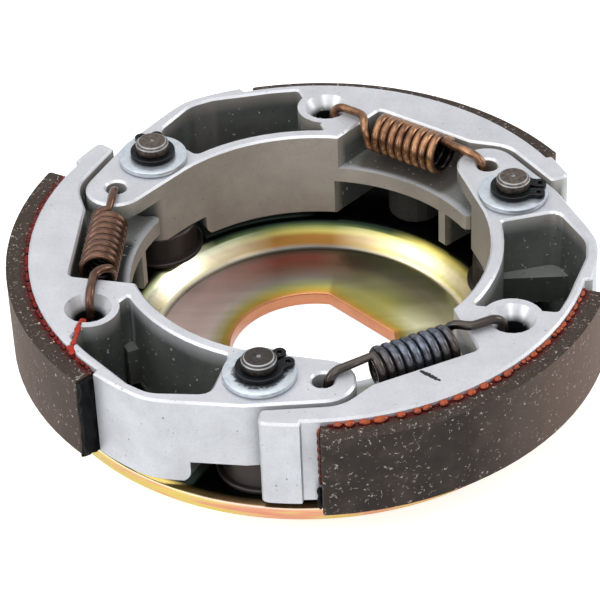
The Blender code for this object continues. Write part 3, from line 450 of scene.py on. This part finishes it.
def plain_steel(name, dark, light, rough, metallic, edge_wear_and_highlight=0.5, scale=900.0, lower_tone=None, tips=None,
                axis=None, chamfered=False, grime=False, sheen=0.5):
    """Bare or coated steel: two tones in fine grain, with bright edges where the face slopes: partly rubbed
    wear, partly painted highlight.

    The grain is 0.7 mm wide on the pins, 1 mm on other small parts and 2.4 mm along bronzed wire. Real grain
    is finer, and wouldn't show.
    """
    material, tree, shader, place = blank(name)
    normal = add(tree, "ShaderNodeNewGeometry").outputs["Normal"]
    up = add(tree, "ShaderNodeSeparateXYZ", {"Vector": normal}).outputs["Z"]
    grain = add(tree, "ShaderNodeTexNoise", {"Vector": place, "Scale": scale, "Detail": 4.0}).outputs["Fac"]
    tone = add(tree, "ShaderNodeValToRGB", {"Fac": grain}, [(0.3, dark), (0.7, light)]).outputs[0]
    stops = [(0.35, 0.0), (0.6, 1.0), (0.85, 1.0), (0.97, 0.0)]
    if chamfered:
        # Only the two thin edges of a 45-degree chamfer are bright, not the chamfer.
        stops = [(0.2, 0.0), (0.4, 1.0), (0.62, 1.0), (0.68, 0.0), (0.73, 0.0), (0.78, 1.0), (0.93, 1.0),
                 (0.985, 0.0)]
    # Bright sloping edges: partly rubbed wear, partly painted highlight.
    edge = add(tree, "ShaderNodeValToRGB", {"Fac": up}, stops).outputs[0]
    tone, _ = layer(tree, tone, "#D8DBDF", edge, edge_wear_and_highlight)
    if grime:
        # Dark smears where the front retaining ring has turned on its washer, out to 4.5 mm from the middle.
        spot = (PIVOTS[1].x * MM, PIVOTS[1].y * MM, below(-1.1))
        near = add(tree, "ShaderNodeVectorMath", {0: place, 1: spot}, operation="DISTANCE").outputs["Value"]
        blot = add(tree, "ShaderNodeTexNoise", {"Vector": place, "Scale": 1400.0,
                                                "Detail": 4.0}).outputs["Fac"]
        blot = add(tree, "ShaderNodeMapRange", {"Value": blot, "To Min": -0.0016,
                                                "To Max": 0.0016}).outputs[0]
        near = add(tree, "ShaderNodeMath", {0: near, 1: blot}, operation="ADD").outputs[0]
        tone, _ = layer(tree, tone, "#34373B", (near, 0.0047, 0.0043), 0.8)
    if tips:
        # The wire turns brown from 6 to 9 mm away from a spot behind the coil: at its hooks, and a little
        # on its front.
        x, y, colour = tips
        off = add(tree, "ShaderNodeVectorMath", {0: place, 1: (x * MM, y * MM, below(0.0))},
                  operation="DISTANCE").outputs["Value"]
        tone, _ = layer(tree, tone, colour, (off, 0.006, 0.009))
    if axis:
        # Painted shade keeps the inside of the coil dark, out to the middle of the wire.
        spot, way, inside = axis
        gap = add(tree, "ShaderNodeVectorMath", {0: place, 1: spot}, operation="SUBTRACT").outputs[0]
        gap = add(tree, "ShaderNodeVectorMath", {0: gap, 1: way}, operation="CROSS_PRODUCT").outputs[0]
        gap = add(tree, "ShaderNodeVectorMath", {0: gap}, operation="LENGTH").outputs["Value"]
        along = add(tree, "ShaderNodeVectorMath", {0: place, 1: spot}, operation="DISTANCE").outputs["Value"]
        tone, _ = layer(tree, tone, "#141110", (gap, inside + 0.0002, inside - 0.0003),
                        (along, 0.0095, 0.0085))
    if lower_tone:
        # The pin and collar are darker from 4 mm below the shoes' top downwards.
        height = add(tree, "ShaderNodeSeparateXYZ", {"Vector": place}).outputs["Z"]
        tone, _ = layer(tree, tone, lower_tone, (height, below(4.0), below(6.0)))
    spread = add(tree, "ShaderNodeMapRange", {"Value": grain, "To Min": rough - 0.06,
                                              "To Max": rough + 0.1}).outputs[0]
    bump = add(tree, "ShaderNodeBump", {"Height": grain, "Strength": 0.3, "Distance": 0.00004}).outputs[0]
    join(tree, shader, {"Base Color": tone, "Roughness": spread, "Metallic": metallic,
                        "Specular IOR Level": sheen, "Normal": bump})
    return material


def cured_adhesive(name, deep, bright, gloss, sheen):
    """Cured lining adhesive: cloudy resin, with painted light: bright on the crown of each drop and deep at
    its foot.
    """
    material, tree, shader, place = blank(name)
    # The resin is cloudy over 2 mm, about the length of a drop.
    cloud = add(tree, "ShaderNodeTexNoise", {"Vector": place, "Scale": 500.0, "Detail": 3.0}).outputs["Fac"]
    normal = add(tree, "ShaderNodeNewGeometry").outputs["Normal"]
    up = add(tree, "ShaderNodeSeparateXYZ", {"Vector": normal}).outputs["Z"]
    # Painted light: each drop is painted brighter where it faces up and deeper where it faces sideways.
    crown_light = add(tree, "ShaderNodeMapRange", {"Value": up, "From Min": 0.1, "From Max": 0.95, "To Min": -0.25,
                                             "To Max": 0.25}).outputs[0]
    crown_light = add(tree, "ShaderNodeMath", {0: cloud, 1: crown_light}, operation="ADD").outputs[0]
    tone = add(tree, "ShaderNodeValToRGB", {"Fac": crown_light}, [(0.35, deep), (0.65, bright)]).outputs[0]
    bump = add(tree, "ShaderNodeBump", {"Height": cloud, "Strength": 0.12, "Distance": 0.0002}).outputs[0]
    join(tree, shader, {"Base Color": tone, "Roughness": gloss, "Specular IOR Level": sheen, "Normal": bump})
    return material


def black_rubber():
    """Moulded nitrile rubber: dull and nearly black, with a grain of 0.8 mm."""
    material, tree, shader, place = blank("moulded_rubber")
    grain = add(tree, "ShaderNodeTexNoise", {"Vector": place, "Scale": 1200.0, "Detail": 3.0}).outputs["Fac"]
    tone = add(tree, "ShaderNodeValToRGB", {"Fac": grain}, [(0.3, "#161616"), (0.7, "#242322")]).outputs[0]
    bump = add(tree, "ShaderNodeBump", {"Height": grain, "Strength": 0.3, "Distance": 0.00005}).outputs[0]
    join(tree, shader, {"Base Color": tone, "Roughness": 0.8, "Normal": bump})
    return material


ALUMINIUM = cast_aluminium()
FRICTION = friction_compound()
CHROMATE = yellow_passivate()
PIN_STEEL = plain_steel("turned_pin_steel", "#1D1917", "#3C3530", 0.38, 0.5, 0.5, 1500.0, lower_tone="#2E2725",
                        chamfered=True)
PIN_WORN = plain_steel("worn_pin_steel", "#332C28", "#63574F", 0.38, 0.5, 0.4, 1500.0, lower_tone="#2E2725",
                       chamfered=True)
WASHER_ZINC = plain_steel("blue_white_zinc", "#B6BEC7", "#CAD2D9", 0.3, 0.6, grime=True)
CLIP_BLACK = plain_steel("blackened_spring_steel", "#090A0C", "#15181B", 0.4, 0.1, 0.06, sheen=0.12)
ADHESIVE = cured_adhesive("cured_amber_adhesive", "#460E03", "#A6430F", 0.05, 0.32)
ADHESIVE_RED = cured_adhesive("cured_red_adhesive", "#2A0405", "#74120F", 0.3, 0.15)
ADHESIVE_DRIP = cured_adhesive("cured_run_of_adhesive", "#6A0604", "#A82A10", 0.1, 0.2)
ADHESIVE_BLACK = cured_adhesive("charred_adhesive", "#050608", "#0E0E12", 0.6, 0.1)
RUBBER = black_rubber()
# Each spring's width across the coil, how far its axis lies below the shoes' top, and its wire's finish.
SPRINGS = ((7.1, 1.1, "oil_blued_wire", "#3C414C", "#6A707C", 0.22, 900.0, (15.0, -28.5, "#463F3C"),
            "black_spring_wire"),
           (7.1, 1.1, "bronzed_wire_2", "#4A352C", "#6C4F40", 0.23, 420.0, None, "bronzed_spring_wire"),
           # The far spring's bronzed wire is painted lighter than the left one's: a lit copy of the same
           # finish, painted highlight.
           (7.7, 1.5, "bronzed_wire_3", "#5E4232", "#A87E5E", 0.23, 420.0, None, "bronzed_spring_wire"))


def linked(name, data):
    """A new object of the scene that shows the data."""
    obj = bpy.data.objects.new(name, data)
    bpy.context.scene.collection.objects.link(obj)
    return obj


def piece_from(bm, name, material, body, node, angle=35.0):
    """Makes a finished object from a bmesh in millimetres, hangs it on its body and hides the CAD part it
    replaces.
    """
    bmesh.ops.remove_doubles(bm, verts=bm.verts, dist=WELD)
    bmesh.ops.recalc_face_normals(bm, faces=bm.faces)
    bmesh.ops.scale(bm, vec=(MM, MM, MM), verts=bm.verts)
    mesh = bpy.data.meshes.new(name)
    bm.to_mesh(mesh)
    bm.free()
    mesh.materials.append(material)
    mesh.shade_smooth()
    mesh.set_sharp_from_angle(angle=math.radians(angle))
    obj = linked(name, mesh)
    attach(obj, body)
    if node:
        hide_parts(node)


def turned(profile, steps, centre, rounding=0.12):
    """A lathe-turned solid: the profile is spun round the centre and its corners are eased."""
    bm = bmesh.new()
    verts = [bm.verts.new((r, 0.0, z)) for r, z in profile]
    edges = [bm.edges.new(pair) for pair in zip(verts, verts[1:])]
    if profile[0][0] > 0.0:
        edges.append(bm.edges.new((verts[-1], verts[0])))
    bmesh.ops.spin(bm, geom=verts + edges, cent=(0, 0, 0), axis=(0, 0, 1), angle=2 * math.pi,
                   steps=steps, use_merge=True, use_duplicate=False)
    bmesh.ops.remove_doubles(bm, verts=bm.verts, dist=WELD)
    bmesh.ops.recalc_face_normals(bm, faces=bm.faces)
    sharp = [e for e in bm.edges if e.is_manifold and e.calc_face_angle() > math.radians(25)]
    bmesh.ops.bevel(bm, geom=sharp, offset=rounding, affect="EDGES", segments=2, profile=0.5, material=-1,
                    clamp_overlap=True)
    bmesh.ops.translate(bm, vec=(centre[0], centre[1], 0.0), verts=bm.verts)
    return bm


def make_plate():
    """The pressed and dished plate, with its double-flat hole."""
    profile = [(FLAT_RADIUS, 0.0), (29.4, 0.0), (30.3, 0.25), (31.0, 0.9), (32.9, 3.3), (33.6, 3.95),
               (34.5, RIM_BOTTOM), (PLATE_RADIUS, RIM_BOTTOM), (PLATE_RADIUS, RIM_TOP), (34.0, RIM_TOP),
               (33.2, 6.72), (32.4, 6.35), (31.6, 5.6), (29.6, 3.25), (29.0, 2.8), (28.2, PLATE_THICKNESS),
               (FLAT_RADIUS, PLATE_THICKNESS)]
    bm = turned(profile, 240, (0.0, 0.0), 0.35)
    # All within 0.9 mm of the round hole, so its eased edge too, is pushed out to two flats and two arcs.
    for vert in bm.verts:
        spot = vert.co.xy
        if spot.length < FLAT_RADIUS + 0.9:
            turn = math.atan2(spot.y, spot.x) - math.radians(FLAT_ANGLE)
            reach = min(HOLE_RADIUS, FLAT_RADIUS / max(0.2, abs(math.cos(turn))))
            vert.co.xy = spot.normalized() * (reach + spot.length - FLAT_RADIUS)
    piece_from(bm, "plate", CHROMATE, "carrier", "drive_plate")


def make_pin(i):
    """A pivot pin: riveted tail, collar with a foot, shank, clip groove, bevelled and dimpled top."""
    top = SHOE_TOP + PIN_STANDOUT
    under = RIM_BOTTOM - GAP
    head = under - RIVET_HEIGHT
    seat = RIM_TOP + GAP
    foot = seat + FOOT_HEIGHT
    collar = seat + COLLAR_HEIGHT
    groove = (CLIP_BOTTOM - 0.1, CLIP_BOTTOM + CLIP_THICKNESS + 0.1)
    profile = [(0.0, head), (TAIL_RADIUS, head), (RIVET_RADIUS, head + 0.6), (RIVET_RADIUS, under),
               (TAIL_RADIUS, under), (TAIL_RADIUS, seat), (FOOT_RADIUS, seat), (FOOT_RADIUS, foot - 0.2),
               (FOOT_RADIUS - 0.3, foot), (COLLAR_RADIUS, foot), (COLLAR_RADIUS, collar - 0.4),
               (COLLAR_RADIUS - 0.4, collar), (PIN_RADIUS, collar), (PIN_RADIUS, groove[0]),
               (GROOVE_RADIUS, groove[0]), (GROOVE_RADIUS, groove[1]), (PIN_RADIUS, groove[1]),
               (PIN_RADIUS, top - 0.55), (PIN_RADIUS - 0.55, top), (0.3, top), (0.26, top - 0.25),
               (0.0, top - 0.3)]
    bm = turned(profile, 64, PIVOTS[i], 0.1)
    # The front pin is darker than the other two.
    steel = PIN_STEEL if i == 1 else PIN_WORN
    piece_from(bm, f"pin_{i + 1}", steel, "carrier", f"pivot_pin_{i + 1}")


def make_washer(i):
    """The flat washer under a retaining ring."""
    inner = PIN_RADIUS + GAP
    top = WASHER_BOTTOM + WASHER_THICKNESS
    profile = [(inner, WASHER_BOTTOM), (WASHER_RADIUS, WASHER_BOTTOM), (WASHER_RADIUS, top), (inner, top)]
    bm = turned(profile, 72, PIVOTS[i], 0.16)
    piece_from(bm, f"flat_washer_{i + 1}", WASHER_ZINC, "carrier", f"washer_{i + 1}")


def make_clip(i):
    """An external retaining ring with two pierced lugs."""
    lugs = [polar(4.85, 17.0), polar(4.85, -17.0)]
    outline = arc(lugs[0], 1.15, -80, 120, 16)
    outline += arc((0, 0), CLIP_RADIUS, 39, 321, 48)
    outline += arc(lugs[1], 1.15, -120, 80, 16)
    outline += arc((0, 0), GROOVE_RADIUS + GAP, 348, 12, 48)
    bm = bmesh.new()
    edges = []
    for loop in (outline, arc(lugs[0], 0.5, 0, 345, 23), arc(lugs[1], 0.5, 0, 345, 23)):
        rim = [bm.verts.new((p.x, p.y, 0.0)) for p in loop]
        edges += [bm.edges.new(pair) for pair in zip(rim, rim[1:] + rim[:1])]
    bmesh.ops.triangle_fill(bm, edges=edges, use_beauty=True)
    grown = bmesh.ops.extrude_face_region(bm, geom=bm.faces[:])
    lifted = [v for v in grown["geom"] if isinstance(v, bmesh.types.BMVert)]
    bmesh.ops.translate(bm, vec=(0, 0, CLIP_THICKNESS), verts=lifted)
    bmesh.ops.recalc_face_normals(bm, faces=bm.faces)
    edges = [e for e in bm.edges if e.is_manifold and e.calc_face_angle() > math.radians(50)]
    bmesh.ops.bevel(bm, geom=edges, offset=0.14, affect="EDGES", segments=3, profile=0.5, material=-1,
                    clamp_overlap=True)
    bmesh.ops.rotate(bm, cent=(0, 0, 0), matrix=Matrix.Rotation(math.radians(CLIP_DIRECTIONS[i]), 3, "Z"),
                     verts=bm.verts)
    bmesh.ops.translate(bm, vec=(PIVOTS[i].x, PIVOTS[i].y, CLIP_BOTTOM), verts=bm.verts)
    piece_from(bm, f"retaining_ring_{i + 1}", CLIP_BLACK, "carrier", f"circlip_{i + 1}")


def spring_points(i, radius, drop):
    """The wire's centre line, from the next shoe's ear to this shoe's hook hole."""
    ear, way, length, _ = spring_line(i)
    side = Vector((way.y, -way.x))
    steps = 22
    body = COILS * COIL_PITCH
    start = (length - body) / 2 - COIL_SHIFT
    height = SHOE_TOP - drop
    quarter = [math.radians(90 * k / 10) for k in range(11)]
    # The pull holds each hook against the side of its hole that is nearer the coil.
    first = 0.85
    last = length - 1.6
    path = [(first, 0.0, WIRE_RIDE - HOOK_DEPTH), (first, 0.0, WIRE_RIDE - HOOK_DEPTH + 1.0)]
    path += [(first + HOOK_BEND * (1 - math.cos(a)), 0.0, WIRE_RIDE - HOOK_BEND * (1 - math.sin(a)))
             for a in quarter]
    # The last turn ends at the side, and the wire arches up from there and over to the middle.
    count = COILS * steps + steps * 3 // 4
    for k in range(count + 1):
        a = 2 * math.pi * k / steps
        path.append((start + body * k / count, radius * math.sin(a), height + radius * math.cos(a)))
    arch = ((0.45, 0.97, 0.4), (0.9, 0.86, 0.72), (1.4, 0.68, 0.92), (1.95, 0.45, 1.02), (2.6, 0.22, 1.04),
            (3.3, 0.07, 1.02), (4.0, 0.0, 1.0))
    path += [(start + body + s, -radius * t, height + (WIRE_RIDE - height) * z) for s, t, z in arch]
    path += [(last - HOOK_BEND * (1 - math.sin(a)), 0.0, WIRE_RIDE - HOOK_BEND * (1 - math.cos(a)))
             for a in quarter]
    path += [(last, 0.0, WIRE_RIDE - HOOK_DEPTH + 1.0), (last, 0.0, WIRE_RIDE - HOOK_DEPTH)]
    points = []
    for s, t, z in path:
        spot = ear + way * s + side * t
        points.append((spot.x * MM, spot.y * MM, z * MM))
    return points


def make_spring(i):
    """An extension spring of round wire, which stretches between the two shoes that it joins."""
    coil, drop, finish, dark, light, rough, scale, tips, slot = SPRINGS[i]
    radius = coil / 2 - WIRE_RADIUS
    _, way, _, middle = spring_line(i)
    axis = ((middle.x * MM, middle.y * MM, below(drop)), (way.x, way.y, 0.0), radius * MM)
    material = plain_steel(finish, dark, light, rough, 0.8, 0.0, scale, tips=tips, axis=axis)
    points = spring_points(i, radius, drop)
    curve = bpy.data.curves.new(f"wire_{i + 1}", "CURVE")
    curve.dimensions = "3D"
    curve.bevel_depth = WIRE_RADIUS * MM
    curve.bevel_resolution = 4
    curve.use_fill_caps = True
    spline = curve.splines.new("POLY")
    spline.points.add(len(points) - 1)
    for point, spot in zip(spline.points, points):
        point.co = (*spot, 1.0)
    wire = linked("wire", curve)
    graph = bpy.context.evaluated_depsgraph_get()
    mesh = bpy.data.meshes.new_from_object(wire.evaluated_get(graph))
    bpy.data.objects.remove(wire)
    mesh.name = f"extension_spring_{i + 1}"
    mesh.materials.clear()
    mesh.materials.append(material)
    mesh.shade_smooth()
    obj = linked(mesh.name, mesh)
    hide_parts(f"spring_{i + 1}")
    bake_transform(obj)


def make_shoe(i):
    """The cast shoe: its CAD mesh with doubles merged, flat faces joined and edges eased."""
    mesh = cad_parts[f"shoe_{i + 1}"].data.copy()
    bm = bmesh.new()
    bm.from_mesh(mesh)
    bmesh.ops.remove_doubles(bm, verts=bm.verts, dist=0.000002)
    bmesh.ops.dissolve_limit(bm, angle_limit=math.radians(1.0), verts=bm.verts, edges=bm.edges,
                             use_dissolve_boundaries=False)
    bm.to_mesh(mesh)
    bm.free()
    mesh.materials.clear()
    mesh.materials.append(ALUMINIUM)
    mesh.shade_smooth()
    mesh.set_sharp_from_angle(angle=math.radians(32))
    obj = linked(f"cast_shoe_{i + 1}", mesh)
    ease = obj.modifiers.new("eased_edges", "BEVEL")
    ease.width = 0.24 * MM
    ease.segments = 2
    ease.limit_method = "ANGLE"
    ease.angle_limit = math.radians(32)
    ease.harden_normals = True
    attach(obj, BODIES[i])
    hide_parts(f"shoe_{i + 1}")


def make_drops(i, name, material, drops):
    """Cured adhesive in separate drops: each has a place, its three half sizes and its turn in plan."""
    bm = bmesh.new()
    for x, y, z, long, wide, high, turn in drops:
        place = Matrix.Translation((x, y, z)) @ Matrix.Rotation(math.radians(turn), 4, "Z")
        bmesh.ops.create_icosphere(bm, subdivisions=2, radius=1.0,
                                   matrix=place @ Matrix.Diagonal((long, wide, high, 1.0)))
    for vert in bm.verts:
        vert.co += noise.noise_vector(vert.co * 1.4) * 0.1
    piece_from(bm, name, material, BODIES[i], None, 80.0)


def along_joint(first, last, size, seed, spread=(1.15, 1.5), height=SHOE_TOP - 0.95):
    """Drops squeezed out along the top of the joint between shoe and lining."""
    rng = random.Random(seed)
    drops = []
    angle = first
    while angle < last:
        long = size * rng.uniform(0.55, 1.15)
        wide = size * rng.uniform(0.5, 0.66)
        spot = polar(SEAT_RADIUS + wide * 0.6, angle)
        drops.append((spot.x, spot.y, height + rng.uniform(-0.1, 0.1), long, wide, wide * 0.9,
                      angle + 90 + rng.uniform(-8, 8)))
        angle += math.degrees(long * rng.uniform(*spread) * 1.5 / SEAT_RADIUS)
    return drops


def up_end(angle, low, high, size, seed, radius=SEAT_RADIUS + 0.2):
    """Drops squeezed out of the joint's upright end."""
    rng = random.Random(seed)
    drops = []
    z = low
    while z < high:
        tall = size * rng.uniform(0.8, 1.6)
        spot = polar(radius + rng.uniform(-0.1, 0.1), angle)
        drops.append((spot.x, spot.y, z, size * 0.55, size * 0.5, tall, angle))
        z += tall * rng.uniform(1.2, 1.8)
    return drops


def make_drip():
    """A string of adhesive that ran from the left shoe's hook hole over its edge to the lining."""
    path = ((-38.9, -19.1, -1.4, 0.7), (-39.0, -20.4, -0.3, 0.45), (-39.3, -21.7, 0.1, 0.45),
            (-39.4, -22.9, 0.12, 0.6), (-39.6, -24.0, 0.1, 0.45), (-39.7, -25.2, 0.1, 0.4),
            (-40.0, -26.4, 0.05, 0.55), (-40.4, -27.6, -0.3, 0.85), (-40.2, -28.5, -0.4, 0.7))
    drops = [(x, y, SHOE_TOP + z, 0.9, size, size * 0.6, -105.0) for x, y, z, size in path]
    make_drops(1, "drip_2", ADHESIVE_DRIP, drops)


def make_end_glue():
    """Charred glue that fills the upright end of the left lining, with a ragged skin."""
    end = -137.9
    bm = bmesh.new()
    bmesh.ops.create_cube(bm, size=1.0)
    bmesh.ops.scale(bm, vec=(4.5, 1.0, 15.6), verts=bm.verts)
    bmesh.ops.subdivide_edges(bm, edges=bm.edges, cuts=11, use_grid_fill=True)
    for vert in bm.verts:
        vert.co += noise.noise_vector(vert.co * 0.9) * 0.5 + noise.noise_vector(vert.co * 2.3) * 0.25
    spot = polar(50.75, end) + polar(0.35, end + 90)
    bmesh.ops.rotate(bm, cent=(0, 0, 0), matrix=Matrix.Rotation(math.radians(end), 3, "Z"), verts=bm.verts)
    bmesh.ops.translate(bm, vec=(spot.x, spot.y, 16.8), verts=bm.verts)
    piece_from(bm, "charred_end_2", ADHESIVE_BLACK, "weight_2", None, 80.0)


make_plate()
for index in range(3):
    make_pin(index)
    make_washer(index)
    make_clip(index)
    make_spring(index)
    make_shoe(index)
    number = index + 1
    for name, material in ((f"lining_{number}", FRICTION), (f"damper_stud_{number}", PIN_STEEL),
                           (f"damper_rubber_{number}", RUBBER)):
        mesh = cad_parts[name].data
        mesh.materials.clear()
        mesh.materials.append(material)
make_drops(0, "amber_drops_1", ADHESIVE,
           along_joint(-86.0, -50.0, 1.25, 4, (1.5, 2.1)) + along_joint(-49.0, -20.0, 0.9, 9, (1.2, 1.7))
           + up_end(-89.5, 13.5, 24.0, 0.8, 6))
make_drops(0, "red_drops_1", ADHESIVE_RED, along_joint(-87.5, -19.0, 0.5, 12, (0.9, 1.4), SHOE_TOP - 1.1))
make_drops(0, "charred_drops_1", ADHESIVE_BLACK, up_end(-89.7, 9.4, 12.2, 1.1, 2, SEAT_RADIUS + 0.9))
make_drops(1, "red_drops_2", ADHESIVE_RED, along_joint(-207.0, -139.0, 0.8, 5, (0.8, 1.6), SHOE_TOP - 1.05))
make_drip()
make_end_glue()


def tent_rays(tree):
    """Light Path's rays that see the white tent: the camera's, and those of metal and glass."""
    path = add(tree, "ShaderNodeLightPath")
    rays = 0.0
    for name in ("Is Camera Ray", "Is Glossy Ray", "Is Transmission Ray"):
        rays = add(tree, "ShaderNodeMath", {0: rays, 1: path.outputs[name]}, operation="MAXIMUM").outputs[0]
    return rays


def studio():
    """White tent: floor and surround that render white, a wide lamp above, and weaker ones on three sides."""
    bm = bmesh.new()
    bmesh.ops.create_grid(bm, x_segments=1, y_segments=1, size=1.5)
    bmesh.ops.translate(bm, vec=(0, 0, cad_box[0][2]), verts=bm.verts)
    mesh = bpy.data.meshes.new("floor")
    bm.to_mesh(mesh)
    bm.free()
    material, tree, shader, _ = blank("white_paper")
    glow = add(tree, "ShaderNodeMath", {0: tent_rays(tree), 1: 0.7}, operation="MULTIPLY").outputs[0]
    join(tree, shader, {"Base Color": linear("#E6E6E6"), "Roughness": 0.9,
                        "Emission Color": linear("#FFFFFF"), "Emission Strength": glow})
    mesh.materials.append(material)
    linked("floor", mesh)
    world = bpy.data.worlds.new("tent")
    world.use_nodes = True
    tree = world.node_tree
    power = add(tree, "ShaderNodeMapRange", {"Value": tent_rays(tree), "To Min": 0.26}).outputs[0]
    join(tree, tree.nodes["Background"], {"Color": linear("#FFFFFF"), "Strength": power})
    bpy.context.scene.world = world
    for name, spot, size, power in (("top", (-0.15, -0.1, 0.6), 0.95, 4.2),
                                    ("left", (-0.6, -0.3, 0.3), 0.3, 1.1),
                                    ("right", (0.6, 0.1, 0.3), 0.3, 1.1),
                                    ("front", (0.1, -0.7, 0.35), 0.3, 0.8)):
        lamp = bpy.data.lights.new(name, "AREA")
        lamp.size = size
        lamp.energy = power
        obj = linked(name, lamp)
        obj.location = spot
        obj.rotation_euler = (Vector((0, 0, 0.01)) - Vector(spot)).to_track_quat("-Z", "Y").to_euler()


def camera():
    """The photograph's long lens from above the front edge."""
    yaw, pitch, roll = (math.radians(a) for a in (-0.282, 37.768, -2.397))
    ahead = Vector((math.sin(yaw) * math.cos(pitch), math.cos(yaw) * math.cos(pitch), -math.sin(pitch)))
    level = ahead.cross(Vector((0, 0, 1))).normalized()
    above = level.cross(ahead)
    right = level * math.cos(roll) + above * math.sin(roll)
    up = above * math.cos(roll) - level * math.sin(roll)
    lens = bpy.data.cameras.new("camera")
    lens.sensor_width = 36.0
    lens.lens = 168.97
    lens.clip_start = 0.01
    obj = linked("camera", lens)
    turn = Matrix((right, up, -ahead)).transposed().to_4x4()
    obj.matrix_world = Matrix.Translation((0.0, -0.3956, 0.2932 + SHOE_TOP * MM)) @ turn
    bpy.context.scene.camera = obj


studio()
camera()
bpy.context.scene.view_settings.view_transform = "Standard"
